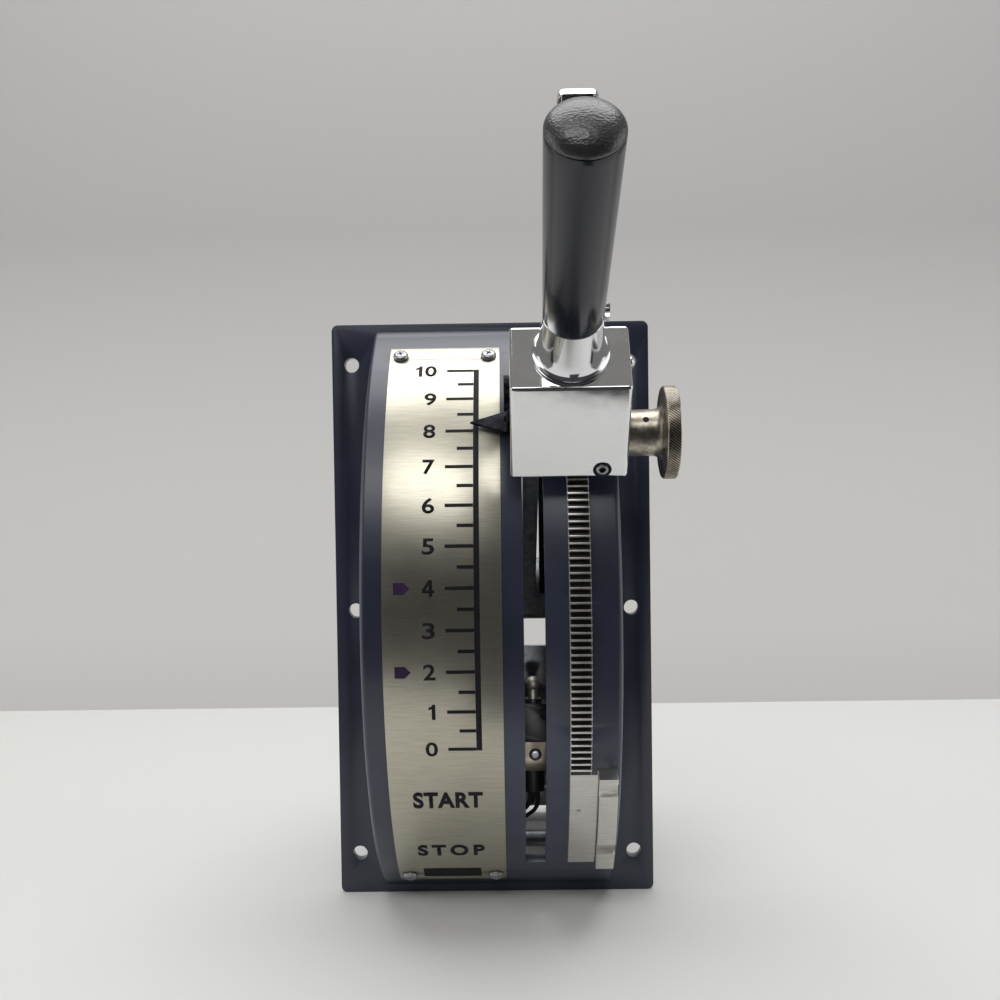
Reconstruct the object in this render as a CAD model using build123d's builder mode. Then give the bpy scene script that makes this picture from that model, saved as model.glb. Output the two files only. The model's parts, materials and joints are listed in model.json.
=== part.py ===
from build123d import *
from math import acos, atan2, cos, degrees, hypot, radians, sin, sqrt, tan
import os

# Panel-mounted engine control lever. Row frame: X to the right, Y backwards into the panel, Z up.
# The origin is the centre of the bolt pattern on the flange's rear face.
# The lever turns about an axis along X. An angle is measured at that axis, upwards from straight forwards.

# ---- driving dimensions, millimetres and degrees ----
FLANGE_WIDTH = 150.0
FLANGE_HEIGHT = 272.0
FLANGE_THICKNESS = 6.0
FLANGE_CORNER = 3.0
BOLT_SPACING_X = 131.5
BOLT_ROW_STEP = 117.0
BOLT_HOLE_R = 3.5

AXIS_Y = 84.0              # lever axis behind the flange's rear face
DRUM_R = 160.0
DRUM_WIDTH = 110.0
DRUM_WALL = 4.0
DRUM_EDGE_R = 2.5
BOSS_R = 5.5
BOSS_INSET = 6.0           # boss centre in from the side wall's inner face
BOSS_Z = 100.0
BOSS_REAR_Y = -8.0

SLOT_X = 18.1
SLOT_WIDTH = 9.0
SLOT_LOW = -45.8
SLOT_HIGH = 49.0

SCALE_X = -20.4
SCALE_WIDTH = 50.0
SCALE_THICKNESS = 0.8
SCALE_LOW = -52.1
SCALE_HIGH = 49.9
SCALE_SCREW_X = 20.1       # half of the spacing across
SCALE_SCREW_INSET = 2.35   # degrees in from the plate's ends
SCALE_HEAD_T = 2.1

RACK_X = 37.0
RACK_WIDTH = 9.0
RACK_LOW = -22.5
RACK_HIGH = 47.5
RACK_TEETH_PER_TURN = 342
RACK_PITCH_R = 166.0
PINION_TEETH = 18
RACK_SCREW_ANGLES = (-16.0, 5.0, 27.0, 45.5)

LAND_WIDTH = 11.7
LAND_DROP = 0.45           # below the pinion's tip circle
GROOVE_WIDTH = 0.6
RAIL_WIDTH = 8.0
RAIL_R = 168.0
DETENT_LOW = -42.6
NOTCH_DEPTH = 2.4
DETENT_SCREW_ANGLES = (-28.5, -34.5)
DIMPLE_ANGLE = -29.5       # punch mark on the land
DIMPLE_R = 0.9

LEVER_ANGLE = 32.2         # where the lever stands at rest
START_ANGLE = -28.7
STOP_ANGLE = -41.3

BLOCK_LEFT = 9.0
BLOCK_RIGHT = 57.0
BLOCK_BASE_U = 168.5       # distances along the lever from its axis
BLOCK_TOP_U = 211.0
BLOCK_TOP_FRONT = -17.3
BLOCK_TOP_REAR = 13.5
BLOCK_FLARE = 15.4
BLOCK_EDGE_R = 1.6

ARM_THICKNESS = 7.0
ARM_HALF_TOP = 10.5
ARM_HALF_ROOT = 12.0
ARM_TIP_U = 196.0
ARM_SCREW_PLACES = ((190.0, 0.0), (180.0, 0.0))
HUB_R = 17.0
HUB_WIDTH = 20.0
SHAFT_R = 8.0

HANDLE_X = 33.4
SPIGOT_R = 6.0
SPIGOT_U = 191.0
FERRULE_RING_R = 15.5
FERRULE_RING_T = 1.6
FERRULE_BASE_R = 13.6
FERRULE_TOP_R = 11.7
GRIP_U = 234.0
GRIP_END_U = 322.0
GRIP_R = 11.7
GRIP_END_R = 13.25
CAP_HEIGHT = 8.3

KNOB_SHAFT_R = 4.0
KNOB_LAG = 4.5             # degrees below the lever's own line
KNOB_R = 19.4
KNOB_THICKNESS = 5.8
KNOB_FACE_X = 72.2
KNOB_HUB_R = 9.7
KNOB_PIN_R = 1.2
BUSH_R = 6.2               # clears the detent rail as the block passes over it
SET_SCREW_X = 46.6
SET_SCREW_U = 173.2
SET_SCREW_HEX = 1.25
SET_SCREW_SINK_R = 3.8
SET_SCREW_SINK = 1.2
POINTER_TIP_X = -8.3
POINTER_HALF = 6.0
POINTER_U = 162.4
POINTER_T = 1.6
POINTER_TAB_T = 1.4
POINTER_SCREW_U = 170.5
POINTER_SCREW_R = 1.6
PIN_X = KNOB_FACE_X - 7.5  # cross pin in the knob's hub

PIVOT_U = 203.0            # trigger's pin in the block
PIVOT_T = 1.0
PIVOT_R = 2.0
LATCH_T = 12.0
LATCH_THICKNESS = 6.0
LATCH_X = 48.5
LATCH_WIDTH = 5.0
LATCH_TIP_U = 168.3
LATCH_TOP_U = 207.0
DRIVE_PIN_R = 1.5
TRIGGER_WIDTH = 14.3
TRIGGER_END_U = 309.0
TRIGGER_END_T = 38.5
TRIGGER_ROOT_U = 214.0
TRIGGER_ROOT_T = 23.5
TRIGGER_DEPTH = 4.6
TRIGGER_WALL = 1.6

FRAME_INNER_X = 33.0
FRAME_THICKNESS = 4.0
FRAME_TOP_Z = 112.0
FRAME_FLOOR_Z = -133.0
FRAME_REAR_Y = 112.0
FRAME_STEP_Y = 6.0
REAR_PLATE_Z = -84.0
REAR_PLATE_HEIGHT = 94.0
REAR_SCREW_STEP = 54.0
TIE_R = 4.0
TIE_END_R = 3.0
TIE_PLACES = ((104.0, -120.0), (22.0, -120.0), (42.0, 74.0))
BEARING_R = 11.0
BEARING_FLANGE_R = 14.0
BEARING_FLANGE_T = 2.0

BRACKET_Y = 61.0
BRACKET_T = 3.0
BRACKET_TOP_Z = -60.0
BRACKET_LOW_Z = -96.5
GUARD_LEFT = 23.2           # clears the arm as it swings
GUARD_Y = 40.0
GUARD_T = 2.0
GUARD_LOW_Z = 2.0
GUARD_TOP_Z = 64.0
GUARD_EAR = 12.0
SWITCH_TOP_Z = -58.0
SWITCH_LOW_Z = -78.5
STOP_X = 19.5
STOP_BODY_DEPTH = 10.0
STOP_BODY_WIDTH = 17.0
STOP_BALL_Z = -48.0
PLUNGER_R = 2.5
STOP_BALL_R = 3.8
START_X = -27.0
START_BODY_Z = -49.0
START_SCREW_Z = -50.0
START_BALL_R = 2.6
BRACKET_SCREW_Z = -76.0
RIVET_Z = -87.5
RIVET_HEAD_R = 3.4
GLAND_R = 6.0
GLAND_LENGTH = 13.0
TERMINAL_Y = 65.0
TERMINAL_Z = -108.0
TERMINAL_PITCH = 8.6
TERMINAL_SCREW_STEP = 13.0
CAM_R = 26.0
CAM_WIDTH = 6.0
GEAR_MODULE = 1.0
DRIVE_TEETH = 60
POT_TEETH = 20
GEAR_WIDTH = 6.0
DRIVE_GEAR_X = -15.0
POT_SHAFT_R = 3.0
POT_BUSH_R = 4.5
POT_BODY_R = 13.0
POT_BODY_LENGTH = 13.0
PAD_R = 17.0               # friction brake outside the right frame
PAD_T = 2.5
DISC_R = 16.0
DISC_T = 2.0
CUP_BASE_R = 14.0
CUP_TOP_R = 10.5
CUP_HEIGHT = 2.5
BRAKE_NUT_HALF = 12.0
BRAKE_NUT_T = 9.0
COLLAR_R = 13.0
COLLAR_T = 6.0
COIL_R = 3.6               # trigger spring
COIL_WIRE = 0.7

M3_R = 1.5
M3_HEAD_R = 2.6
M4_R = 2.0
M4_HEAD_R = 3.5
M5_R = 2.5
M5_HEAD_R = 4.25
CLEAR_HOLE = 0.1           # extra radius of a clearance hole

SNUG = 0.05                # a fixed piece in its hole
RUNNING = 0.05             # a turning or sliding piece in its hole
SEAT = 0.03                # curved seats on the drum
AIR = 0.4                  # moving pieces that pass each other

# ---- sizes that follow ----
SCALE_R = DRUM_R + SCALE_THICKNESS
DRUM_INNER_R = DRUM_R - DRUM_WALL
CAVITY_HALF_X = DRUM_WIDTH / 2 - DRUM_WALL
CAVITY_HALF_Z = sqrt(DRUM_INNER_R**2 - (AXIS_Y + FLANGE_THICKNESS) ** 2)
BOSS_X = CAVITY_HALF_X - BOSS_INSET
GEAR_M = 2 * RACK_PITCH_R / RACK_TEETH_PER_TURN
PINION_PITCH_R = GEAR_M * PINION_TEETH / 2
PINION_TIP_R = PINION_PITCH_R + GEAR_M
KNOB_RADIUS = RACK_PITCH_R + PINION_PITCH_R
KNOB_U = KNOB_RADIUS * cos(radians(KNOB_LAG))
KNOB_T = -KNOB_RADIUS * sin(radians(KNOB_LAG))
LAND_R = KNOB_RADIUS - PINION_TIP_R - LAND_DROP
LAND_X = RACK_X - RACK_WIDTH / 2 + LAND_WIDTH / 2
RAIL_X = LAND_X + LAND_WIDTH / 2 + GROOVE_WIDTH + RAIL_WIDTH / 2
FINGER_OFFSET = degrees(atan2(LATCH_T, RAIL_R))
FRAME_OUTER_X = FRAME_INNER_X + FRAME_THICKNESS
GEAR_CENTRES = GEAR_MODULE * (DRIVE_TEETH + POT_TEETH) / 2
BUSH_LEFT = RACK_X + RACK_WIDTH / 2 + 1.5
SHAFT_BORE_LEFT = 24.0
STOP_Y = BRACKET_Y - STOP_BODY_DEPTH / 2
EAR_SCREW_Y = BRACKET_Y + 7.5
DISC_X = FRAME_OUTER_X + PAD_T + 0.2
CUP_X = DISC_X + DISC_T + 0.1
GUARD_SCREW_PLACES = ((GUARD_Y + GUARD_T + 6, 14.0), (GUARD_Y + GUARD_T + 6, 52.0))
STOP_SCREW_PLACES = ((STOP_X - 6, -74.0), (STOP_X + 6, -64.0))
RIVET_PLACE = (STOP_X + 0.9, RIVET_Z)
GLAND_PLACE = (STOP_X, BRACKET_Y + 10)
START_SCREW_PLACES = ((AXIS_Y - 6, START_SCREW_Z), (AXIS_Y + 6, START_SCREW_Z))
TERMINAL_SCREW_PLACES = (
    (TERMINAL_Y - TERMINAL_SCREW_STEP, TERMINAL_Z), (TERMINAL_Y + TERMINAL_SCREW_STEP, TERMINAL_Z)
)


def polar(radius, angle):
    """Row Y and Z of a point at a radius and angle about the lever's axis."""
    return (AXIS_Y - radius * cos(radians(angle)), radius * sin(radians(angle)))


def radial_plane(x, radius, angle):
    """A plane facing outwards from the lever's axis."""
    y, z = polar(radius, angle)
    return Plane(origin=(x, y, z), x_dir=(1, 0, 0), z_dir=(0, -cos(radians(angle)), sin(radians(angle))))


def side_plane(x):
    """The lever's side view: u along the lever, t across it upwards. It extrudes to the left."""
    a = radians(LEVER_ANGLE)
    return Plane(origin=(x, AXIS_Y, 0), x_dir=(0, -cos(a), sin(a)), z_dir=(-1, 0, 0))


def lever_point(x, u, t):
    """A row-frame point from the lever's own coordinates."""
    a = radians(LEVER_ANGLE)
    return (x, AXIS_Y - u * cos(a) + t * sin(a), u * sin(a) + t * cos(a))


def lever_plane(x, u, t=0.0):
    """A plane across the lever, facing along it, with local X along the row's X."""
    a = radians(LEVER_ANGLE)
    return Plane(origin=lever_point(x, u, t), x_dir=(1, 0, 0), z_dir=(0, -cos(a), sin(a)))


def across_plane(x, u, t):
    """A plane facing upwards across the lever, with local X along the row's X."""
    a = radians(LEVER_ANGLE)
    return Plane(origin=lever_point(x, u, t), x_dir=(1, 0, 0), z_dir=(0, sin(a), cos(a)))


def sector(inner, outer, low, high):
    """Draw a ring sector in the current YZ sketch: make a face of arcs and radial lines."""
    middle = (low + high) / 2
    with BuildLine() as outline:
        ThreePointArc(polar(outer, low), polar(outer, middle), polar(outer, high))
        Line(polar(outer, high), polar(inner, high))
        ThreePointArc(polar(inner, high), polar(inner, middle), polar(inner, low))
        Line(polar(inner, low), polar(outer, low))
    make_face(outline.edges())


def block_front(u):
    """The block's front face, across the lever, at a distance along it."""
    share = (BLOCK_TOP_U - u) / (BLOCK_TOP_U - BLOCK_BASE_U)
    return BLOCK_TOP_FRONT - BLOCK_FLARE * share


def block_rear(u):
    """The block's rear face, across the lever, at a distance along it."""
    share = (BLOCK_TOP_U - u) / (BLOCK_TOP_U - BLOCK_BASE_U)
    return BLOCK_TOP_REAR + BLOCK_FLARE * share


SET_SCREW_FRONT = block_front(SET_SCREW_U)


def rack_outline():
    """Points of the rack's side: straight-flanked teeth with a gap under the pinion, and a curved base."""
    pitch = 360 / RACK_TEETH_PER_TURN
    first_gap = LEVER_ANGLE - KNOB_LAG
    tip = RACK_PITCH_R + GEAR_M
    root = RACK_PITCH_R - 1.25 * GEAR_M
    half_tip = 0.12 * pitch
    half_root = 0.35 * pitch
    count_low = int((first_gap - RACK_LOW) / pitch)
    count_high = int((RACK_HIGH - first_gap) / pitch)
    points = [polar(root, RACK_LOW)]
    for k in range(-count_low, count_high):
        middle = first_gap + (k + 0.5) * pitch
        points.append(polar(root, middle - half_root))
        points.append(polar(tip, middle - half_tip))
        points.append(polar(tip, middle + half_tip))
        points.append(polar(root, middle + half_root))
    points.append(polar(root, RACK_HIGH))
    return points


def gear_outline(teeth, module, centre, phase):
    """Points of a spur gear with thinned straight-flanked teeth; one tooth's middle is at phase degrees."""
    pitch_r = teeth * module / 2
    step = 360 / teeth
    points = []
    for k in range(teeth):
        middle = phase + k * step
        for radius, half in (
            (pitch_r - 1.25 * module, 0.30),
            (pitch_r, 0.19),
            (pitch_r + module, 0.08),
        ):
            a = radians(middle - half * step)
            points.append((centre[0] + radius * cos(a), centre[1] + radius * sin(a)))
        for radius, half in (
            (pitch_r + module, 0.08),
            (pitch_r, 0.19),
            (pitch_r - 1.25 * module, 0.30),
        ):
            a = radians(middle + half * step)
            points.append((centre[0] + radius * cos(a), centre[1] + radius * sin(a)))
    return points


def closed_face(points):
    """Make a face from a closed outline in the current sketch."""
    with BuildLine() as outline:
        Polyline(*points, close=True)
    make_face(outline.edges())


# ================= fixed housing =================

with BuildPart() as housing_casting:
    with BuildSketch(Plane.XZ):
        RectangleRounded(FLANGE_WIDTH, FLANGE_HEIGHT, FLANGE_CORNER)
    extrude(amount=FLANGE_THICKNESS)
    with BuildSketch(Plane.YZ.offset(-DRUM_WIDTH / 2)):
        with Locations((AXIS_Y, 0)):
            Circle(DRUM_R)
        with Locations((-FLANGE_THICKNESS / 2, 0)):
            Rectangle(3 * DRUM_R, 3 * DRUM_R, align=(Align.MIN, Align.CENTER), mode=Mode.SUBTRACT)
    extrude(amount=DRUM_WIDTH)
    arcs = housing_casting.edges().filter_by(GeomType.CIRCLE)
    fillet(arcs.filter_by(lambda e: abs(e.radius - DRUM_R) < 0.01), DRUM_EDGE_R)
    with BuildSketch(Plane.YZ.offset(-CAVITY_HALF_X)):
        with Locations((AXIS_Y, 0)):
            Circle(DRUM_INNER_R)
        with Locations((-DRUM_R, 0)):
            Rectangle(DRUM_R + 1, 2 * CAVITY_HALF_Z, align=(Align.MIN, Align.CENTER), mode=Mode.INTERSECT)
    extrude(amount=2 * CAVITY_HALF_X, mode=Mode.SUBTRACT)
    with BuildSketch(Plane.YZ.offset(SLOT_X - SLOT_WIDTH / 2)):
        sector(DRUM_INNER_R - 2, DRUM_R + 2, SLOT_LOW, SLOT_HIGH)
    extrude(amount=SLOT_WIDTH, mode=Mode.SUBTRACT)
    boss_length = sqrt(DRUM_INNER_R**2 - (BOSS_Z + BOSS_R) ** 2) - AXIS_Y + BOSS_REAR_Y + 1
    with BuildSketch(Plane.XZ.offset(-BOSS_REAR_Y)):
        with GridLocations(2 * BOSS_X, 2 * BOSS_Z, 2, 2):
            Circle(BOSS_R)
        with GridLocations(2 * BOSS_X + BOSS_INSET, 2 * BOSS_Z, 2, 2):
            Rectangle(BOSS_INSET + 1, BOSS_R)
    extrude(amount=boss_length)
    with BuildSketch(Plane.XZ.offset(-BOSS_REAR_Y)):
        with GridLocations(2 * BOSS_X, 2 * BOSS_Z, 2, 2):
            Circle(M5_R)
    extrude(amount=16, mode=Mode.SUBTRACT)
    with BuildSketch(Plane.XZ):
        with GridLocations(BOLT_SPACING_X, BOLT_ROW_STEP, 2, 3):
            Circle(BOLT_HOLE_R)
    extrude(amount=FLANGE_THICKNESS, mode=Mode.SUBTRACT)
    for angle in (SCALE_LOW + SCALE_SCREW_INSET, SCALE_HIGH - SCALE_SCREW_INSET):
        with BuildSketch(radial_plane(SCALE_X, DRUM_INNER_R - 2, angle)):
            with Locations((-SCALE_SCREW_X, 0), (SCALE_SCREW_X, 0)):
                Circle(M4_R)
        extrude(amount=DRUM_WALL + 4, mode=Mode.SUBTRACT)
    for angle in RACK_SCREW_ANGLES:
        with BuildSketch(radial_plane(RACK_X, DRUM_INNER_R - 2, angle)):
            Circle(M4_R + CLEAR_HOLE)
        extrude(amount=DRUM_WALL + 4, mode=Mode.SUBTRACT)
    for angle in DETENT_SCREW_ANGLES:
        with BuildSketch(radial_plane(LAND_X, DRUM_INNER_R - 2, angle)):
            Circle(M4_R + CLEAR_HOLE)
        extrude(amount=DRUM_WALL + 4, mode=Mode.SUBTRACT)

with BuildPart() as scale_plate:
    with BuildSketch(Plane.YZ.offset(SCALE_X - SCALE_WIDTH / 2)):
        sector(DRUM_R + SEAT, SCALE_R, SCALE_LOW, SCALE_HIGH)
    extrude(amount=SCALE_WIDTH)
    for angle in (SCALE_LOW + SCALE_SCREW_INSET, SCALE_HIGH - SCALE_SCREW_INSET):
        with BuildSketch(radial_plane(SCALE_X, DRUM_INNER_R, angle)):
            with Locations((-SCALE_SCREW_X, 0), (SCALE_SCREW_X, 0)):
                Circle(M4_R + CLEAR_HOLE + SNUG)
        extrude(amount=DRUM_WALL + 4, mode=Mode.SUBTRACT)

with BuildPart() as scale_screws:
    for angle in (SCALE_LOW + SCALE_SCREW_INSET, SCALE_HIGH - SCALE_SCREW_INSET):
        with BuildSketch(radial_plane(SCALE_X, SCALE_R + SNUG, angle)):
            with Locations((-SCALE_SCREW_X, 0), (SCALE_SCREW_X, 0)):
                Circle(M4_HEAD_R)
        extrude(amount=SCALE_HEAD_T)
        with BuildSketch(radial_plane(SCALE_X, SCALE_R + SNUG, angle)):
            with Locations((-SCALE_SCREW_X, 0), (SCALE_SCREW_X, 0)):
                Circle(M4_R - SNUG)
        extrude(amount=-7)
    rims = scale_screws.edges().filter_by(GeomType.CIRCLE).filter_by(lambda e: e.radius > 3)
    fillet(rims.filter_by(lambda e: hypot(e.center().Y - AXIS_Y, e.center().Z) > SCALE_R + 1), 1.0)

with BuildPart() as rack_sector:
    with BuildSketch(Plane.YZ.offset(RACK_X - RACK_WIDTH / 2)):
        teeth = rack_outline()
        seat_r = DRUM_R + SEAT
        with BuildLine():
            Polyline(*teeth)
            Line(teeth[-1], polar(seat_r, RACK_HIGH))
            ThreePointArc(
                polar(seat_r, RACK_HIGH), polar(seat_r, (RACK_HIGH + RACK_LOW) / 2), polar(seat_r, RACK_LOW)
            )
            Line(polar(seat_r, RACK_LOW), teeth[0])
        make_face()
    extrude(amount=RACK_WIDTH)
    for angle in RACK_SCREW_ANGLES:
        with BuildSketch(radial_plane(RACK_X, DRUM_R - 1, angle)):
            Circle(M4_R + SNUG)
        extrude(amount=4, mode=Mode.SUBTRACT)

with BuildPart() as rack_screws:
    places = [(RACK_X, angle) for angle in RACK_SCREW_ANGLES]
    places += [(LAND_X, angle) for angle in DETENT_SCREW_ANGLES]
    for x, angle in places:
        with BuildSketch(radial_plane(x, DRUM_INNER_R - 0.3, angle)):
            Circle(M4_R)
        extrude(amount=DRUM_WALL + 2.8)
        with BuildSketch(radial_plane(x, DRUM_INNER_R - 0.3, angle)):
            Circle(M4_HEAD_R)
        extrude(amount=-3)

with BuildPart() as detent_block:
    with BuildSketch(Plane.YZ.offset(LAND_X - LAND_WIDTH / 2)):
        sector(DRUM_R + SEAT, LAND_R, DETENT_LOW, RACK_LOW - 0.1)
    extrude(amount=LAND_WIDTH + GROOVE_WIDTH)
    with BuildSketch(Plane.YZ.offset(RAIL_X - RAIL_WIDTH / 2)):
        sector(DRUM_R + SEAT, RAIL_R, DETENT_LOW, RACK_LOW - 0.1)
    extrude(amount=RAIL_WIDTH)
    with BuildSketch(Plane.YZ.offset(RAIL_X - RAIL_WIDTH / 2 - GROOVE_WIDTH)):
        sector(DRUM_R + 2, RAIL_R, DETENT_LOW - 1, RACK_LOW + 1)
    extrude(amount=GROOVE_WIDTH, mode=Mode.SUBTRACT)
    notch_half = degrees(atan2(LATCH_THICKNESS / 2 + AIR, RAIL_R))
    for angle in (START_ANGLE + FINGER_OFFSET, STOP_ANGLE + FINGER_OFFSET):
        with BuildSketch(Plane.YZ.offset(RAIL_X - RAIL_WIDTH / 2)):
            sector(RAIL_R - NOTCH_DEPTH, RAIL_R + 1, angle - notch_half, angle + notch_half)
        extrude(amount=RAIL_WIDTH, mode=Mode.SUBTRACT)
    for angle in DETENT_SCREW_ANGLES:
        with BuildSketch(radial_plane(LAND_X, DRUM_R - 1, angle)):
            Circle(M4_R + SNUG)
        extrude(amount=4, mode=Mode.SUBTRACT)
    with BuildSketch(radial_plane(LAND_X - 2, LAND_R - 0.8, DIMPLE_ANGLE)):
        Circle(DIMPLE_R)
    extrude(amount=3, mode=Mode.SUBTRACT)

# ================= rear frame =================


def frame_profile():
    """Side plate: straight edges, full height at the panel and a sloped top towards the rear."""
    closed_face(
        (
            (BOSS_REAR_Y, FRAME_TOP_Z),
            (FRAME_STEP_Y, FRAME_TOP_Z),
            (FRAME_REAR_Y, 32),
            (FRAME_REAR_Y, FRAME_FLOOR_Z),
            (FRAME_STEP_Y, FRAME_FLOOR_Z),
            (FRAME_STEP_Y, -FRAME_TOP_Z),
            (BOSS_REAR_Y, -FRAME_TOP_Z),
        )
    )


frames = {}
for side, name in ((-1, "frame_left"), (1, "frame_right")):
    plate_x = -FRAME_OUTER_X if side < 0 else FRAME_INNER_X
    foot_x = side * (FRAME_INNER_X + BOSS_X + BOSS_R) / 2
    foot_width = BOSS_X + BOSS_R - FRAME_INNER_X
    with BuildPart() as frame:
        with BuildSketch(Plane.YZ.offset(plate_x)):
            frame_profile()
        extrude(amount=FRAME_THICKNESS)
        with BuildSketch(Plane.XZ.offset(-BOSS_REAR_Y)):
            with Locations((foot_x, BOSS_Z), (foot_x, -BOSS_Z)):
                Rectangle(foot_width, 2 * (FRAME_TOP_Z - BOSS_Z))
        extrude(amount=-FRAME_THICKNESS)
        with BuildSketch(Plane.XZ.offset(-BOSS_REAR_Y)):
            with GridLocations(2 * BOSS_X, 2 * BOSS_Z, 2, 2):
                Circle(M5_R + 2 * CLEAR_HOLE)
        extrude(amount=-FRAME_THICKNESS, mode=Mode.SUBTRACT)
        with BuildSketch(Plane.YZ.offset(plate_x)):
            with Locations((AXIS_Y, 0)):
                Circle(BEARING_R + SNUG)
            with Locations(*TIE_PLACES):
                Circle(TIE_END_R + SNUG)
            with Locations((EAR_SCREW_Y, BRACKET_SCREW_Z)):
                Circle(M4_R + CLEAR_HOLE)
            if side < 0:
                with Locations((AXIS_Y, GEAR_CENTRES)):
                    Circle(POT_BUSH_R)
                with Locations(*START_SCREW_PLACES, *TERMINAL_SCREW_PLACES):
                    Circle(M3_R + CLEAR_HOLE)
            else:
                with Locations(*GUARD_SCREW_PLACES):
                    Circle(M3_R + CLEAR_HOLE)
        extrude(amount=FRAME_THICKNESS, mode=Mode.SUBTRACT)
        with BuildSketch(Plane.XZ.offset(-FRAME_REAR_Y)):
            with Locations((0, REAR_PLATE_Z)):
                with GridLocations(FRAME_INNER_X + FRAME_OUTER_X, REAR_SCREW_STEP, 2, 2):
                    Circle(M3_R)
        extrude(amount=10, mode=Mode.SUBTRACT)
    frames[name] = frame

with BuildPart() as rear_plate:
    with BuildSketch(Plane.XZ.offset(-FRAME_REAR_Y)):
        with Locations((0, REAR_PLATE_Z)):
            Rectangle(2 * FRAME_OUTER_X, REAR_PLATE_HEIGHT)
    extrude(amount=-FRAME_THICKNESS)
    with BuildSketch(Plane.XZ.offset(-FRAME_REAR_Y)):
        with Locations((0, REAR_PLATE_Z)):
            with GridLocations(FRAME_INNER_X + FRAME_OUTER_X, REAR_SCREW_STEP, 2, 2):
                Circle(M3_R)
    extrude(amount=-FRAME_THICKNESS, mode=Mode.SUBTRACT)

with BuildPart() as rear_screws:
    with BuildSketch(Plane.XZ.offset(-FRAME_REAR_Y - FRAME_THICKNESS)):
        with Locations((0, REAR_PLATE_Z)):
            with GridLocations(FRAME_INNER_X + FRAME_OUTER_X, REAR_SCREW_STEP, 2, 2):
                Circle(M3_HEAD_R + 0.15)
    extrude(amount=-2.0)
    with BuildSketch(Plane.XZ.offset(-FRAME_REAR_Y - FRAME_THICKNESS)):
        with Locations((0, REAR_PLATE_Z)):
            with GridLocations(FRAME_INNER_X + FRAME_OUTER_X, REAR_SCREW_STEP, 2, 2):
                Circle(M3_R - SNUG)
    extrude(amount=FRAME_THICKNESS + 8)

with BuildPart() as frame_screws:
    with BuildSketch(Plane.XZ.offset(-BOSS_REAR_Y - FRAME_THICKNESS - SNUG)):
        with GridLocations(2 * BOSS_X, 2 * BOSS_Z, 2, 2):
            Circle(M5_HEAD_R)
    extrude(amount=-3.4)
    with BuildSketch(Plane.XZ.offset(-BOSS_REAR_Y - FRAME_THICKNESS - SNUG)):
        with GridLocations(2 * BOSS_X, 2 * BOSS_Z, 2, 2):
            Circle(M5_R - SNUG)
    extrude(amount=14)

with BuildPart() as tie_rods:
    with BuildSketch(Plane.YZ.offset(-FRAME_INNER_X)):
        with Locations(*TIE_PLACES):
            Circle(TIE_R)
    extrude(amount=2 * FRAME_INNER_X)
    with BuildSketch(Plane.YZ.offset(-FRAME_OUTER_X - 6)):
        with Locations(*TIE_PLACES):
            Circle(TIE_END_R)
    extrude(amount=2 * FRAME_OUTER_X + 12)

with BuildPart() as tie_nuts:
    for x, length in ((FRAME_OUTER_X, 5), (-FRAME_OUTER_X, -5)):
        with BuildSketch(Plane.YZ.offset(x)):
            with Locations(*TIE_PLACES):
                RegularPolygon(5, 6, major_radius=False)
                Circle(TIE_END_R + SNUG, mode=Mode.SUBTRACT)
        extrude(amount=length)

with BuildPart() as shaft_bushes:
    for inner, side in ((FRAME_INNER_X, 1), (-FRAME_INNER_X, -1)):
        with BuildSketch(Plane.YZ.offset(inner - side * 3)):
            with Locations((AXIS_Y, 0)):
                Circle(BEARING_R)
                Circle(SHAFT_R + RUNNING, mode=Mode.SUBTRACT)
        extrude(amount=side * (FRAME_THICKNESS + 3))
        with BuildSketch(Plane.YZ.offset(inner)):
            with Locations((AXIS_Y, 0)):
                Circle(BEARING_FLANGE_R)
                Circle(SHAFT_R + RUNNING, mode=Mode.SUBTRACT)
        extrude(amount=-side * BEARING_FLANGE_T)

# ================= switches, sender and wiring =================

with BuildPart() as switch_bracket:
    with BuildSketch(Plane.XZ.offset(-BRACKET_Y)):
        with Locations((0, (BRACKET_TOP_Z + BRACKET_LOW_Z) / 2)):
            Rectangle(2 * FRAME_INNER_X, BRACKET_TOP_Z - BRACKET_LOW_Z)
    extrude(amount=-BRACKET_T)
    for x, direction in ((FRAME_INNER_X, -1), (-FRAME_INNER_X, 1)):
        with BuildSketch(Plane.YZ.offset(x)):
            with Locations((BRACKET_Y, (BRACKET_TOP_Z + BRACKET_LOW_Z) / 2)):
                Rectangle(12, BRACKET_TOP_Z - BRACKET_LOW_Z, align=(Align.MIN, Align.CENTER))
        extrude(amount=direction * BRACKET_T)
    with BuildSketch(Plane.XY.offset(BRACKET_LOW_Z)):
        with Locations((STOP_X, BRACKET_Y)):
            Rectangle(20, 18, align=(Align.CENTER, Align.MIN))
    extrude(amount=BRACKET_T)
    with BuildSketch(Plane.XY.offset(BRACKET_LOW_Z)):
        with Locations(GLAND_PLACE):
            Circle(GLAND_R - 2 + SNUG)
    extrude(amount=BRACKET_T, mode=Mode.SUBTRACT)
    with BuildSketch(Plane.YZ.offset(-FRAME_INNER_X)):
        with Locations((EAR_SCREW_Y, BRACKET_SCREW_Z)):
            Circle(M4_R)
    extrude(amount=2 * FRAME_INNER_X, mode=Mode.SUBTRACT)
    with BuildSketch(Plane.XZ.offset(-BRACKET_Y)):
        with Locations(RIVET_PLACE):
            Circle(M4_R)
        with Locations(*STOP_SCREW_PLACES):
            Circle(M3_R)
    extrude(amount=-BRACKET_T, mode=Mode.SUBTRACT)

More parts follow.
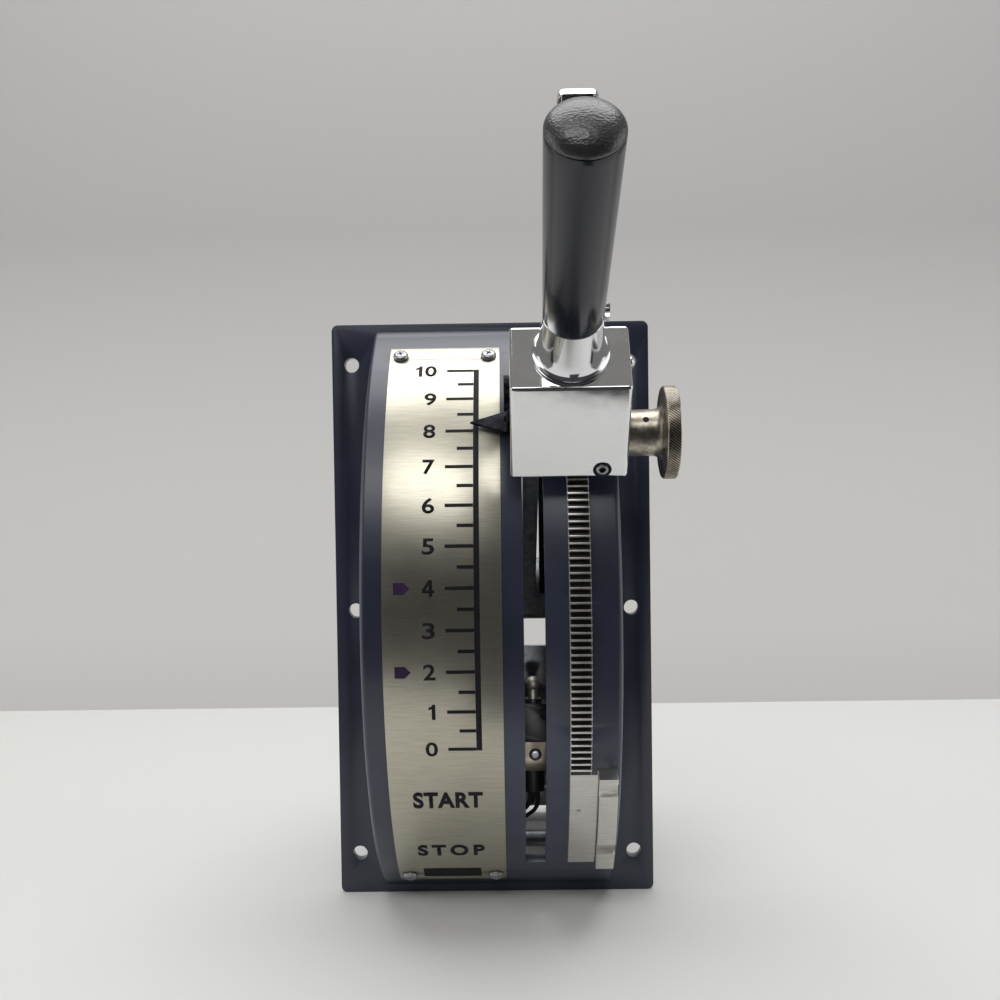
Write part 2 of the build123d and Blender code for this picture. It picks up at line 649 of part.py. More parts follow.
# angle strip that closes the view past the arm
with BuildPart() as guard_strip:
    height = GUARD_TOP_Z - GUARD_LOW_Z
    middle = (GUARD_TOP_Z + GUARD_LOW_Z) / 2
    with BuildSketch(Plane.XZ.offset(-GUARD_Y)):
        with Locations((FRAME_INNER_X, middle)):
            Rectangle(FRAME_INNER_X - GUARD_LEFT, height, align=(Align.MAX, Align.CENTER))
    extrude(amount=-GUARD_T)
    with BuildSketch(Plane.YZ.offset(FRAME_INNER_X)):
        with Locations((GUARD_Y, middle)):
            Rectangle(GUARD_EAR, height, align=(Align.MIN, Align.CENTER))
    extrude(amount=-GUARD_T)
    with BuildSketch(Plane.YZ.offset(FRAME_INNER_X)):
        with Locations(*GUARD_SCREW_PLACES):
            Circle(M3_R)
    extrude(amount=-GUARD_T, mode=Mode.SUBTRACT)

with BuildPart() as bracket_screws:
    for x, side in ((FRAME_OUTER_X, 1), (-FRAME_OUTER_X, -1)):
        with BuildSketch(Plane.YZ.offset(x + side * SNUG)):
            with Locations((EAR_SCREW_Y, BRACKET_SCREW_Z)):
                Circle(M4_HEAD_R)
        extrude(amount=side * 2.6)
        with BuildSketch(Plane.YZ.offset(x + side * SNUG)):
            with Locations((EAR_SCREW_Y, BRACKET_SCREW_Z)):
                Circle(M4_R - SNUG)
        extrude(amount=-side * 9)

with BuildPart() as bracket_rivet:
    with BuildSketch(Plane.XZ.offset(-BRACKET_Y)):
        with Locations(RIVET_PLACE):
            Circle(M4_R - SNUG)
    extrude(amount=-BRACKET_T - 1.5)
    extrude(bracket_rivet.faces().sort_by(Axis.Y)[0], amount=1)
    with BuildSketch(Plane.XZ.offset(-BRACKET_Y + SNUG)):
        with Locations(RIVET_PLACE):
            Circle(RIVET_HEAD_R)
    extrude(amount=2.2)
    fillet(bracket_rivet.faces().sort_by(Axis.Y)[0].edges(), 1.9)

with BuildPart() as stop_switch:
    with BuildSketch(Plane.XY.offset(SWITCH_LOW_Z)):
        with Locations((STOP_X, BRACKET_Y)):
            Rectangle(STOP_BODY_WIDTH, STOP_BODY_DEPTH, align=(Align.CENTER, Align.MAX))
    extrude(amount=SWITCH_TOP_Z - SWITCH_LOW_Z)
    with BuildSketch(Plane.XY.offset(SWITCH_TOP_Z)):
        with Locations((STOP_X, STOP_Y)):
            Circle(4.6)
    extrude(amount=2)
    with BuildSketch(Plane.XY.offset(-76)):
        with Locations((STOP_X, STOP_Y)):
            Circle(PLUNGER_R + RUNNING)
    extrude(amount=22, mode=Mode.SUBTRACT)
    with BuildSketch(Plane.XZ.offset(STOP_BODY_DEPTH - BRACKET_Y)):
        with Locations(*STOP_SCREW_PLACES):
            Circle(M3_R)
    extrude(amount=-STOP_BODY_DEPTH, mode=Mode.SUBTRACT)

with BuildPart() as stop_plunger:
    with BuildSketch(Plane.XY.offset(-72)):
        with Locations((STOP_X, STOP_Y)):
            Circle(PLUNGER_R)
    extrude(amount=STOP_BALL_Z + 72)
    with Locations((STOP_X, STOP_Y, STOP_BALL_Z)):
        Sphere(STOP_BALL_R)

with BuildPart() as lead_gland:
    with BuildSketch(Plane.XY.offset(BRACKET_LOW_Z)):
        with Locations(GLAND_PLACE):
            Circle(GLAND_R)
    extrude(amount=-GLAND_LENGTH)
    with BuildSketch(Plane.XY.offset(BRACKET_LOW_Z)):
        with Locations(GLAND_PLACE):
            Circle(GLAND_R - 2)
    extrude(amount=BRACKET_T + 3)

with BuildPart() as start_switch:
    with BuildSketch(Plane.YZ.offset(-FRAME_INNER_X)):
        with Locations((AXIS_Y, START_BODY_Z)):
            Rectangle(20, 26)
    extrude(amount=12)
    with BuildSketch(Plane.XY.offset(-60)):
        with Locations((START_X, AXIS_Y)):
            Circle(2.1)
    extrude(amount=26, mode=Mode.SUBTRACT)
    with BuildSketch(Plane.YZ.offset(-FRAME_INNER_X)):
        with Locations(*START_SCREW_PLACES):
            Circle(M3_R)
    extrude(amount=12, mode=Mode.SUBTRACT)

with BuildPart() as start_plunger:
    with BuildSketch(Plane.XY.offset(-56)):
        with Locations((START_X, AXIS_Y)):
            Circle(2.0)
    extrude(amount=26)
    with Locations((START_X, AXIS_Y, -CAM_R - AIR - START_BALL_R)):
        Sphere(START_BALL_R)

with BuildPart() as terminal_block:
    with BuildSketch(Plane.YZ.offset(-FRAME_INNER_X)):
        with Locations((TERMINAL_Y, TERMINAL_Z)):
            Rectangle(44, 18)
    extrude(amount=14)
    with BuildSketch(Plane.YZ.offset(-FRAME_INNER_X + 6)):
        with Locations((TERMINAL_Y, TERMINAL_Z)):
            with GridLocations(TERMINAL_PITCH, 1, 5, 1):
                Rectangle(5.6, 9)
    extrude(amount=8, mode=Mode.SUBTRACT)
    with BuildSketch(Plane.YZ.offset(-FRAME_INNER_X)):
        with Locations(*TERMINAL_SCREW_PLACES):
            Circle(M3_R)
    extrude(amount=5, mode=Mode.SUBTRACT)

with BuildPart() as terminal_screws:
    with BuildSketch(Plane.YZ.offset(-FRAME_INNER_X + 6 + SNUG)):
        with Locations((TERMINAL_Y, TERMINAL_Z)):
            with GridLocations(TERMINAL_PITCH, 1, 5, 1):
                Circle(2.3)
    extrude(amount=4)

# M3 screws of the switches, the terminal block and the guard strip
with BuildPart() as small_screws:
    for radius, length in ((M3_HEAD_R, 1.8), (M3_R - SNUG, -13.0)):
        with BuildSketch(Plane.XZ.offset(STOP_BODY_DEPTH - BRACKET_Y)):
            with Locations(*STOP_SCREW_PLACES):
                Circle(radius)
        extrude(amount=length)
    for radius, length in ((M3_HEAD_R, -1.8), (M3_R - 2 * SNUG, FRAME_THICKNESS + 4)):
        with BuildSketch(Plane.YZ.offset(-FRAME_OUTER_X)):
            with Locations(*START_SCREW_PLACES, *TERMINAL_SCREW_PLACES):
                Circle(radius)
        extrude(amount=length)
    for radius, length in ((M3_HEAD_R, 1.8), (M3_R - SNUG, -FRAME_THICKNESS - 4)):
        with BuildSketch(Plane.YZ.offset(FRAME_OUTER_X)):
            with Locations(*GUARD_SCREW_PLACES):
                Circle(radius)
        extrude(amount=length)

with BuildPart() as sender_body:
    with BuildSketch(Plane.YZ.offset(-FRAME_OUTER_X)):
        with Locations((AXIS_Y, GEAR_CENTRES)):
            Circle(POT_BODY_R)
            Circle(POT_SHAFT_R + RUNNING, mode=Mode.SUBTRACT)
    extrude(amount=-POT_BODY_LENGTH)
    with BuildSketch(Plane.YZ.offset(-FRAME_OUTER_X)):
        with Locations((AXIS_Y, GEAR_CENTRES)):
            Circle(POT_BUSH_R - SNUG)
            Circle(POT_SHAFT_R + RUNNING, mode=Mode.SUBTRACT)
    extrude(amount=FRAME_THICKNESS + 6)

with BuildPart() as sender_nut:
    with BuildSketch(Plane.YZ.offset(-FRAME_INNER_X + SNUG)):
        with Locations((AXIS_Y, GEAR_CENTRES)):
            RegularPolygon(6.5, 6, major_radius=False)
            Circle(POT_BUSH_R, mode=Mode.SUBTRACT)
    extrude(amount=3)

with BuildPart() as sender_shaft:
    with BuildSketch(Plane.YZ.offset(-FRAME_OUTER_X - 10)):
        with Locations((AXIS_Y, GEAR_CENTRES)):
            Circle(POT_SHAFT_R)
    extrude(amount=FRAME_OUTER_X + 10 + DRIVE_GEAR_X + GEAR_WIDTH + 2)

with BuildPart() as sender_gear:
    with BuildSketch(Plane.YZ.offset(DRIVE_GEAR_X)):
        closed_face(gear_outline(POT_TEETH, GEAR_MODULE, (AXIS_Y, GEAR_CENTRES), -90.0))
        with Locations((AXIS_Y, GEAR_CENTRES)):
            Circle(POT_SHAFT_R, mode=Mode.SUBTRACT)
    extrude(amount=GEAR_WIDTH)

# The leads leave the gland side by side and run to the terminal block, low under the mechanism.
LEAD_R = 1.1
LEAD_ROUTES = (
    (
        (17.4, 69.4, -109.6), (17.4, 69.4, -117.0), (9.0, 63.0, -122.5),
        (-4.0, 57.2, -118.0), (-11.0, 56.4, -109.5), (-21.0, 56.4, -107.5),
    ),
    (
        (21.8, 69.4, -109.6), (21.8, 69.4, -119.0), (11.0, 69.0, -126.5),
        (-3.0, 66.0, -121.0), (-10.0, 65.0, -110.5), (-21.0, 65.0, -108.0),
    ),
    (
        (19.6, 73.4, -109.6), (19.6, 73.4, -117.0), (12.0, 77.0, -122.0),
        (0.0, 75.5, -118.5), (-9.0, 73.6, -110.0), (-21.0, 73.6, -107.0),
    ),
)
with BuildPart() as leads:
    for route in LEAD_ROUTES:
        runs = [sqrt(sum((b - a) ** 2 for a, b in zip(p, q))) for p, q in zip(route, route[1:])]
        radii = []
        for p, q, r, before, after in zip(route, route[1:], route[2:], runs, runs[1:]):
            turn = (Vector(*q) - Vector(*p)).get_angle(Vector(*r) - Vector(*q))
            radii.append(0.45 * min(before, after) / tan(radians(turn / 2)))
        with BuildLine() as path:
            FilletPolyline(*route, radius=radii)
        start = Plane(origin=route[0], z_dir=path.line @ 0.01 - path.line @ 0)
        with BuildSketch(start):
            Circle(LEAD_R)
        sweep(path=path.line)
        print("lead radii", [round(r, 1) for r in radii])

# ================= lever body =================

with BuildPart() as main_shaft:
    with BuildSketch(Plane.YZ.offset(-FRAME_OUTER_X - 8)):
        with Locations((AXIS_Y, 0)):
            Circle(SHAFT_R)
    extrude(amount=2 * FRAME_OUTER_X + 8 + 20)
    with BuildSketch(Plane.YZ.offset(SLOT_X - HUB_WIDTH / 2)):
        with Locations((AXIS_Y, SHAFT_R)):
            Rectangle(5, 5)
    extrude(amount=HUB_WIDTH, mode=Mode.SUBTRACT)

with BuildPart() as shaft_key:
    with BuildSketch(Plane.YZ.offset(SLOT_X - HUB_WIDTH / 2 + 0.5)):
        with Locations((AXIS_Y, SHAFT_R)):
            Rectangle(5 - 2 * SNUG, 5 - 2 * SNUG)
    extrude(amount=HUB_WIDTH - 1)

with BuildPart() as lever_arm:
    with BuildSketch(side_plane(SLOT_X + ARM_THICKNESS / 2)):
        closed_face(
            (
                (0, -ARM_HALF_ROOT),
                (ARM_TIP_U, -ARM_HALF_TOP),
                (ARM_TIP_U, ARM_HALF_TOP),
                (0, ARM_HALF_ROOT),
            )
        )
    extrude(amount=ARM_THICKNESS)
    with BuildSketch(Plane.YZ.offset(SLOT_X - HUB_WIDTH / 2)):
        with Locations((AXIS_Y, 0)):
            Circle(HUB_R)
    extrude(amount=HUB_WIDTH)
    with BuildSketch(Plane.YZ.offset(SLOT_X - HUB_WIDTH / 2)):
        with Locations((AXIS_Y, 0)):
            Circle(SHAFT_R + SNUG)
        with Locations((AXIS_Y, SHAFT_R)):
            Rectangle(5, 5 + 2 * SNUG)
    extrude(amount=HUB_WIDTH, mode=Mode.SUBTRACT)
    with BuildSketch(side_plane(SLOT_X + ARM_THICKNESS / 2)):
        with Locations(*ARM_SCREW_PLACES):
            Circle(M5_R)
    extrude(amount=ARM_THICKNESS, mode=Mode.SUBTRACT)

with BuildPart() as lever_block:
    with BuildSketch(side_plane(BLOCK_RIGHT)):
        closed_face(
            (
                (BLOCK_BASE_U, block_front(BLOCK_BASE_U)),
                (BLOCK_TOP_U, BLOCK_TOP_FRONT),
                (BLOCK_TOP_U, BLOCK_TOP_REAR),
                (BLOCK_BASE_U, block_rear(BLOCK_BASE_U)),
            )
        )
    extrude(amount=BLOCK_RIGHT - BLOCK_LEFT)
    fillet(lever_block.edges(), BLOCK_EDGE_R)
    # pocket for the arm's end
    with BuildSketch(side_plane(SLOT_X + ARM_THICKNESS / 2 + SNUG)):
        with Locations((BLOCK_BASE_U - 1, 0)):
            Rectangle(
                ARM_TIP_U + SNUG - BLOCK_BASE_U + 1, 2 * (ARM_HALF_TOP + 0.3), align=(Align.MIN, Align.CENTER)
            )
    extrude(amount=ARM_THICKNESS + 2 * SNUG, mode=Mode.SUBTRACT)
    # screws into the arm from the left side
    with BuildSketch(side_plane(SLOT_X)):
        with Locations(*ARM_SCREW_PLACES):
            Circle(M5_R + SNUG)
    extrude(amount=SLOT_X - BLOCK_LEFT, mode=Mode.SUBTRACT)
    # handle's threaded seat
    with BuildSketch(lever_plane(HANDLE_X, SPIGOT_U - 1)):
        Circle(SPIGOT_R + SNUG)
    extrude(amount=BLOCK_TOP_U - SPIGOT_U + 2, mode=Mode.SUBTRACT)
    # pinion's chamber, open to the rack
    with BuildSketch(side_plane(RACK_X + RACK_WIDTH / 2 + 0.7)):
        with Locations((KNOB_U, KNOB_T)):
            Circle(PINION_TIP_R + 0.9)
            Rectangle(16, 2 * PINION_TIP_R + 1.8, align=(Align.MAX, Align.CENTER))
    extrude(amount=RACK_WIDTH + 1.4, mode=Mode.SUBTRACT)
    # shaft bore and bush seat
    with BuildSketch(side_plane(BLOCK_RIGHT)):
        with Locations((KNOB_U, KNOB_T)):
            Circle(KNOB_SHAFT_R + RUNNING)
    extrude(amount=BLOCK_RIGHT - SHAFT_BORE_LEFT, mode=Mode.SUBTRACT)
    with BuildSketch(side_plane(BLOCK_RIGHT)):
        with Locations((KNOB_U, KNOB_T)):
            Circle(BUSH_R + SNUG)
    extrude(amount=BLOCK_RIGHT - BUSH_LEFT, mode=Mode.SUBTRACT)
    # latch guide, then the window that the trigger's root works in
    with BuildSketch(lever_plane(LATCH_X, BLOCK_BASE_U - 1, LATCH_T)):
        Rectangle(LATCH_WIDTH + 2 * RUNNING, LATCH_THICKNESS + 2 * RUNNING)
    extrude(amount=PIVOT_U - BLOCK_BASE_U, mode=Mode.SUBTRACT)
    with BuildSketch(side_plane(LATCH_X + LATCH_WIDTH / 2 + RUNNING)):
        with Locations((PIVOT_U, PIVOT_T)):
            Circle(5.2)
        with Locations((PIVOT_U + 6, PIVOT_T)):
            Rectangle(12.5, 40, align=(Align.MAX, Align.MIN))
    extrude(amount=10.2, mode=Mode.SUBTRACT)
    # trigger pin, with room for its spring
    with BuildSketch(side_plane(BLOCK_RIGHT)):
        with Locations((PIVOT_U, PIVOT_T)):
            Circle(PIVOT_R + SNUG)
    extrude(amount=BLOCK_RIGHT - HANDLE_X - SPIGOT_R - 1, mode=Mode.SUBTRACT)
    with BuildSketch(side_plane(LATCH_X + LATCH_WIDTH / 2 + 2.6)):
        with Locations((PIVOT_U, PIVOT_T)):
            Circle(4.2)
    extrude(amount=3.0, mode=Mode.SUBTRACT)
    # set screw that locks the shaft's bush
    with BuildSketch(across_plane(SET_SCREW_X, SET_SCREW_U, SET_SCREW_FRONT - 2)):
        Circle(M5_R + SNUG)
    extrude(amount=KNOB_T - BUSH_R - SET_SCREW_FRONT + 2, mode=Mode.SUBTRACT)
    with BuildSketch(across_plane(SET_SCREW_X, SET_SCREW_U, SET_SCREW_FRONT - 4)):
        Circle(SET_SCREW_SINK_R)
    extrude(amount=4 + SET_SCREW_SINK, mode=Mode.SUBTRACT)

with BuildPart() as arm_screws:
    with BuildSketch(side_plane(SLOT_X)):
        with Locations(*ARM_SCREW_PLACES):
            Circle(M5_R - SNUG)
    extrude(amount=SLOT_X - BLOCK_LEFT + 1)
    with BuildSketch(side_plane(BLOCK_LEFT - SNUG)):
        with Locations(*ARM_SCREW_PLACES):
            Circle(M5_HEAD_R - SNUG)
    extrude(amount=2.4)

with BuildPart() as pointer:
    with BuildSketch(lever_plane(0, POINTER_U)):
        closed_face(
            ((POINTER_TIP_X, 0), (BLOCK_LEFT - SNUG, POINTER_HALF), (BLOCK_LEFT - SNUG, -POINTER_HALF))
        )
    extrude(amount=POINTER_T)
    with BuildSketch(side_plane(BLOCK_LEFT - SNUG)):
        with Locations((POINTER_U, 0)):
            Rectangle(10.6, 2 * POINTER_HALF, align=(Align.MIN, Align.CENTER))
    extrude(amount=POINTER_TAB_T)

with BuildPart() as pointer_screws:
    with BuildSketch(side_plane(BLOCK_LEFT - SNUG - POINTER_TAB_T)):
        with Locations((POINTER_SCREW_U, -2.6), (POINTER_SCREW_U, 2.6)):
            Circle(POINTER_SCREW_R)
    extrude(amount=1.0)

with BuildPart() as handle_rod:
    with BuildSketch(lever_plane(HANDLE_X, SPIGOT_U)):
        Circle(SPIGOT_R)
    extrude(amount=GRIP_END_U - SPIGOT_U - 14)

with BuildPart() as ferrule:
    with BuildSketch(lever_plane(HANDLE_X, BLOCK_TOP_U)):
        Circle(FERRULE_RING_R)
    extrude(amount=FERRULE_RING_T)
    with BuildSketch(lever_plane(HANDLE_X, BLOCK_TOP_U + FERRULE_RING_T)):
        Circle(FERRULE_BASE_R)
    with BuildSketch(lever_plane(HANDLE_X, GRIP_U)):
        Circle(FERRULE_TOP_R)
    loft()
    with BuildSketch(lever_plane(HANDLE_X, BLOCK_TOP_U)):
        Circle(SPIGOT_R + SNUG)
    extrude(amount=GRIP_U - BLOCK_TOP_U, mode=Mode.SUBTRACT)

with BuildPart() as grip:
    with BuildSketch(lever_plane(HANDLE_X, GRIP_U)):
        Circle(GRIP_R)
    with BuildSketch(lever_plane(HANDLE_X, GRIP_END_U)):
        Circle(GRIP_END_R)
    loft()
    with BuildSketch(lever_plane(HANDLE_X, GRIP_U)):
        Circle(SPIGOT_R + SNUG)
    extrude(amount=GRIP_END_U - GRIP_U - 13, mode=Mode.SUBTRACT)

with BuildPart() as grip_cap:
    cap_radius = (GRIP_END_R**2 + CAP_HEIGHT**2) / (2 * CAP_HEIGHT)
    with BuildSketch(side_plane(HANDLE_X)):
        with BuildLine():
            Line((GRIP_END_U, 0), (GRIP_END_U + CAP_HEIGHT, 0))
            bulge = cap_radius * sin(acos(1 - CAP_HEIGHT / cap_radius) / 2)
            rise = cap_radius * cos(acos(1 - CAP_HEIGHT / cap_radius) / 2) - cap_radius + CAP_HEIGHT
            ThreePointArc((GRIP_END_U + CAP_HEIGHT, 0), (GRIP_END_U + rise, bulge), (GRIP_END_U, GRIP_END_R))
            Line((GRIP_END_U, GRIP_END_R), (GRIP_END_U, 0))
        make_face()
    handle_axis = Axis(
        lever_point(HANDLE_X, 0, 0), (0, -cos(radians(LEVER_ANGLE)), sin(radians(LEVER_ANGLE)))
    )
    revolve(axis=handle_axis)

with BuildPart() as block_bush:
    with BuildSketch(side_plane(BLOCK_RIGHT + 0.3)):
        with Locations((KNOB_U, KNOB_T)):
            Circle(BUSH_R)
            Circle(KNOB_SHAFT_R + RUNNING, mode=Mode.SUBTRACT)
    extrude(amount=BLOCK_RIGHT + 0.3 - BUSH_LEFT)

with BuildPart() as bush_set_screw:
    with BuildSketch(across_plane(SET_SCREW_X, SET_SCREW_U, SET_SCREW_FRONT + 1)):
        Circle(M5_R)
        RegularPolygon(SET_SCREW_HEX, 6, major_radius=False, mode=Mode.SUBTRACT)
    extrude(amount=KNOB_T - BUSH_R - SET_SCREW_FRONT - 1 - SNUG)

with BuildPart() as trigger_pin:
    with BuildSketch(side_plane(BLOCK_RIGHT + 1)):
        with Locations((PIVOT_U, PIVOT_T)):
            Circle(PIVOT_R)
    extrude(amount=BLOCK_RIGHT + 1 - HANDLE_X - SPIGOT_R - 1.2)
    with BuildSketch(side_plane(BLOCK_RIGHT + SNUG)):
        with Locations((PIVOT_U, PIVOT_T)):
            Circle(2.6)
    extrude(amount=-2.0)
    fillet(trigger_pin.faces().sort_by(Axis.X)[-1].edges(), 1.6)

with BuildPart() as switch_cam:
    with BuildSketch(Plane.YZ.offset(START_X - CAM_WIDTH / 2)):
        with Locations((AXIS_Y, 0)):
            Circle(CAM_R)
            Circle(SHAFT_R + SNUG, mode=Mode.SUBTRACT)
        notch_angle = -90 + LEVER_ANGLE - START_ANGLE
        with BuildLine():
            Polyline(
                polar(CAM_R + 2, notch_angle - 9),
                polar(CAM_R - 2.4, notch_angle - 5),
                polar(CAM_R - 2.4, notch_angle + 5),
                polar(CAM_R + 2, notch_angle + 9),
                close=True,
            )
        make_face(mode=Mode.SUBTRACT)
    extrude(amount=CAM_WIDTH)

with BuildPart() as drive_gear:
    with BuildSketch(Plane.YZ.offset(DRIVE_GEAR_X)):
        closed_face(gear_outline(DRIVE_TEETH, GEAR_MODULE, (AXIS_Y, 0), 90.0 + 180.0 / DRIVE_TEETH))
        with Locations((AXIS_Y, 0)):
            Circle(SHAFT_R + SNUG, mode=Mode.SUBTRACT)
    extrude(amount=GEAR_WIDTH)

with BuildPart() as brake_pad:
    with BuildSketch(Plane.YZ.offset(FRAME_OUTER_X + 0.1)):
        with Locations((AXIS_Y, 0)):
            Circle(PAD_R)
            Circle(SHAFT_R + 0.3, mode=Mode.SUBTRACT)
    extrude(amount=PAD_T)

with BuildPart() as brake_disc:
    with BuildSketch(Plane.YZ.offset(DISC_X)):
        with Locations((AXIS_Y, 0)):
            Circle(DISC_R)
            Circle(SHAFT_R + SNUG, mode=Mode.SUBTRACT)
    extrude(amount=DISC_T)

with BuildPart() as brake_spring:
    with BuildSketch(Plane.YZ.offset(CUP_X)):
        with Locations((AXIS_Y, 0)):
            Circle(CUP_BASE_R)
            Circle(SHAFT_R + SNUG, mode=Mode.SUBTRACT)
    with BuildSketch(Plane.YZ.offset(CUP_X + CUP_HEIGHT)):
        with Locations((AXIS_Y, 0)):
            Circle(CUP_TOP_R)
            Circle(SHAFT_R + SNUG, mode=Mode.SUBTRACT)
    loft()

with BuildPart() as brake_nut:
    with BuildSketch(Plane.YZ.offset(CUP_X + CUP_HEIGHT + 0.1)):
        with Locations((AXIS_Y, 0)):
            RegularPolygon(BRAKE_NUT_HALF, 6, major_radius=False)
            Circle(SHAFT_R + SNUG, mode=Mode.SUBTRACT)
    extrude(amount=BRAKE_NUT_T)

with BuildPart() as shaft_collar:
    with BuildSketch(Plane.YZ.offset(-FRAME_OUTER_X - 0.3)):
        with Locations((AXIS_Y, 0)):
            Circle(COLLAR_R)
            Circle(SHAFT_R + SNUG, mode=Mode.SUBTRACT)
    extrude(amount=-COLLAR_T)

# ================= knob body =================

with BuildPart() as knob_shaft:
    with BuildSketch(side_plane(KNOB_FACE_X + KNOB_THICKNESS - 1.5)):
        with Locations((KNOB_U, KNOB_T)):
            Circle(KNOB_SHAFT_R)
    extrude(amount=KNOB_FACE_X + KNOB_THICKNESS - 1.5 - SHAFT_BORE_LEFT - 0.5)
    with BuildSketch(lever_plane(PIN_X, KNOB_U - KNOB_HUB_R, KNOB_T)):
        Circle(KNOB_PIN_R + SNUG)
    extrude(amount=2 * KNOB_HUB_R, mode=Mode.SUBTRACT)

with BuildPart() as knob:
    with BuildSketch(side_plane(KNOB_FACE_X + KNOB_THICKNESS)):
        with Locations((KNOB_U, KNOB_T)):
            Circle(KNOB_R)
    extrude(amount=KNOB_THICKNESS)
    chamfer(knob.edges().filter_by(GeomType.CIRCLE), 0.9)
    with BuildSketch(side_plane(KNOB_FACE_X + 0.1)):
        with Locations((KNOB_U, KNOB_T)):
            Circle(KNOB_HUB_R)
    extrude(amount=KNOB_FACE_X + 0.1 - BLOCK_RIGHT - 0.3 - AIR)
    with BuildSketch(side_plane(KNOB_FACE_X + KNOB_THICKNESS - 1.5)):
        with Locations((KNOB_U, KNOB_T)):
            Circle(KNOB_SHAFT_R + SNUG)
    extrude(amount=KNOB_THICKNESS + 30, mode=Mode.SUBTRACT)
    with BuildSketch(lever_plane(PIN_X, KNOB_U - KNOB_HUB_R - 1, KNOB_T)):
        Circle(KNOB_PIN_R + SNUG)
    extrude(amount=2 * KNOB_HUB_R + 2, mode=Mode.SUBTRACT)

with BuildPart() as knob_pin:
    with BuildSketch(lever_plane(PIN_X, KNOB_U - KNOB_HUB_R + 0.6, KNOB_T)):
        Circle(KNOB_PIN_R)
    extrude(amount=2 * KNOB_HUB_R - 1.2)

with BuildPart() as pinion:
    with BuildSketch(side_plane(RACK_X + RACK_WIDTH / 2)):
        closed_face(gear_outline(PINION_TEETH, GEAR_M, (KNOB_U, KNOB_T), 180.0 - KNOB_LAG))
        with Locations((KNOB_U, KNOB_T)):
            Circle(KNOB_SHAFT_R + SNUG, mode=Mode.SUBTRACT)
    extrude(amount=RACK_WIDTH)

# ================= trigger and latch =================

with BuildPart() as trigger_lever:
    root_left = LATCH_X - LATCH_WIDTH / 2 - 0.6 - 4.0
    with BuildSketch(side_plane(root_left + 4.0)):
        with Locations((PIVOT_U, PIVOT_T)):
            Circle(4.4)
        closed_face(
            (
                (PIVOT_U - 2.4, PIVOT_T),
                (PIVOT_U + 2.4, PIVOT_T),
                (PIVOT_U + 2.4, TRIGGER_ROOT_T - 5),
                (TRIGGER_ROOT_U, TRIGGER_ROOT_T - 3),
                (TRIGGER_ROOT_U, TRIGGER_ROOT_T),
                (PIVOT_U - 2.4, TRIGGER_ROOT_T),
            )
        )
    extrude(amount=4.0)
    # crosspiece behind the handle
    with BuildSketch(side_plane(LATCH_X + LATCH_WIDTH / 2 - 1)):
        with Locations((PIVOT_U + 2, TRIGGER_ROOT_T - 3)):
            Rectangle(TRIGGER_ROOT_U - PIVOT_U - 1, 3, align=(Align.MIN, Align.MIN))
    extrude(amount=LATCH_X + LATCH_WIDTH / 2 - 1 - HANDLE_X + TRIGGER_WIDTH / 2)
    # channel-shaped blade along the grip
    with BuildSketch(side_plane(HANDLE_X + TRIGGER_WIDTH / 2)):
        with BuildLine():
            Polyline(
                (TRIGGER_ROOT_U - 4, TRIGGER_ROOT_T - 3),
                (TRIGGER_ROOT_U - 4, TRIGGER_ROOT_T),
                (TRIGGER_END_U - 3, TRIGGER_END_T),
            )
            TangentArc(
                (TRIGGER_END_U - 3, TRIGGER_END_T),
                (TRIGGER_END_U - 2.2, TRIGGER_END_T - TRIGGER_DEPTH - 1.2),
                tangent=(TRIGGER_END_U - 3 - TRIGGER_ROOT_U + 4, TRIGGER_END_T - TRIGGER_ROOT_T),
            )
            Line(
                (TRIGGER_END_U - 2.2, TRIGGER_END_T - TRIGGER_DEPTH - 1.2),
                (TRIGGER_ROOT_U - 4, TRIGGER_ROOT_T - 3),
            )
        make_face()
    extrude(amount=TRIGGER_WIDTH)
    with BuildSketch(side_plane(HANDLE_X + TRIGGER_WIDTH / 2 - TRIGGER_WALL)):
        closed_face(
            (
                (TRIGGER_ROOT_U + 6, TRIGGER_ROOT_T - 8),
                (TRIGGER_ROOT_U + 6, TRIGGER_ROOT_T - TRIGGER_WALL + 1.5),
                (TRIGGER_END_U - 6, TRIGGER_END_T - TRIGGER_WALL - 0.6),
                (TRIGGER_END_U - 6, TRIGGER_END_T - 12),
            )
        )
    extrude(amount=TRIGGER_WIDTH - 2 * TRIGGER_WALL, mode=Mode.SUBTRACT)
    with BuildSketch(side_plane(root_left + 4.0)):
        with Locations((PIVOT_U, PIVOT_T)):
            Circle(PIVOT_R + RUNNING)
        with Locations((PIVOT_U, LATCH_T)):
            Circle(DRIVE_PIN_R + SNUG)
    extrude(amount=4.0, mode=Mode.SUBTRACT)

with BuildPart() as drive_pin:
    with BuildSketch(side_plane(LATCH_X + LATCH_WIDTH / 2 - 0.8)):
        with Locations((PIVOT_U, LATCH_T)):
            Circle(DRIVE_PIN_R)
    extrude(amount=LATCH_X + LATCH_WIDTH / 2 - 0.8 - root_left)

with BuildPart() as trigger_spring:
    for gap in (0.6, 1.4):
        with BuildSketch(side_plane(LATCH_X + LATCH_WIDTH / 2 + gap + COIL_WIRE)):
            with Locations((PIVOT_U, PIVOT_T)):
                Circle(COIL_R)
                Circle(COIL_R - 1, mode=Mode.SUBTRACT)
        extrude(amount=COIL_WIRE)

with BuildPart() as latch_bar:
    with BuildSketch(lever_plane(LATCH_X, LATCH_TIP_U, LATCH_T)):
        Rectangle(LATCH_WIDTH, LATCH_THICKNESS)
    extrude(amount=LATCH_TOP_U - LATCH_TIP_U)
    with BuildSketch(side_plane(LATCH_X + LATCH_WIDTH / 2)):
        with Locations((PIVOT_U, LATCH_T)):
            SlotCenterToCenter(0.8, 2 * (DRIVE_PIN_R + RUNNING), rotation=90)
    extrude(amount=LATCH_WIDTH, mode=Mode.SUBTRACT)

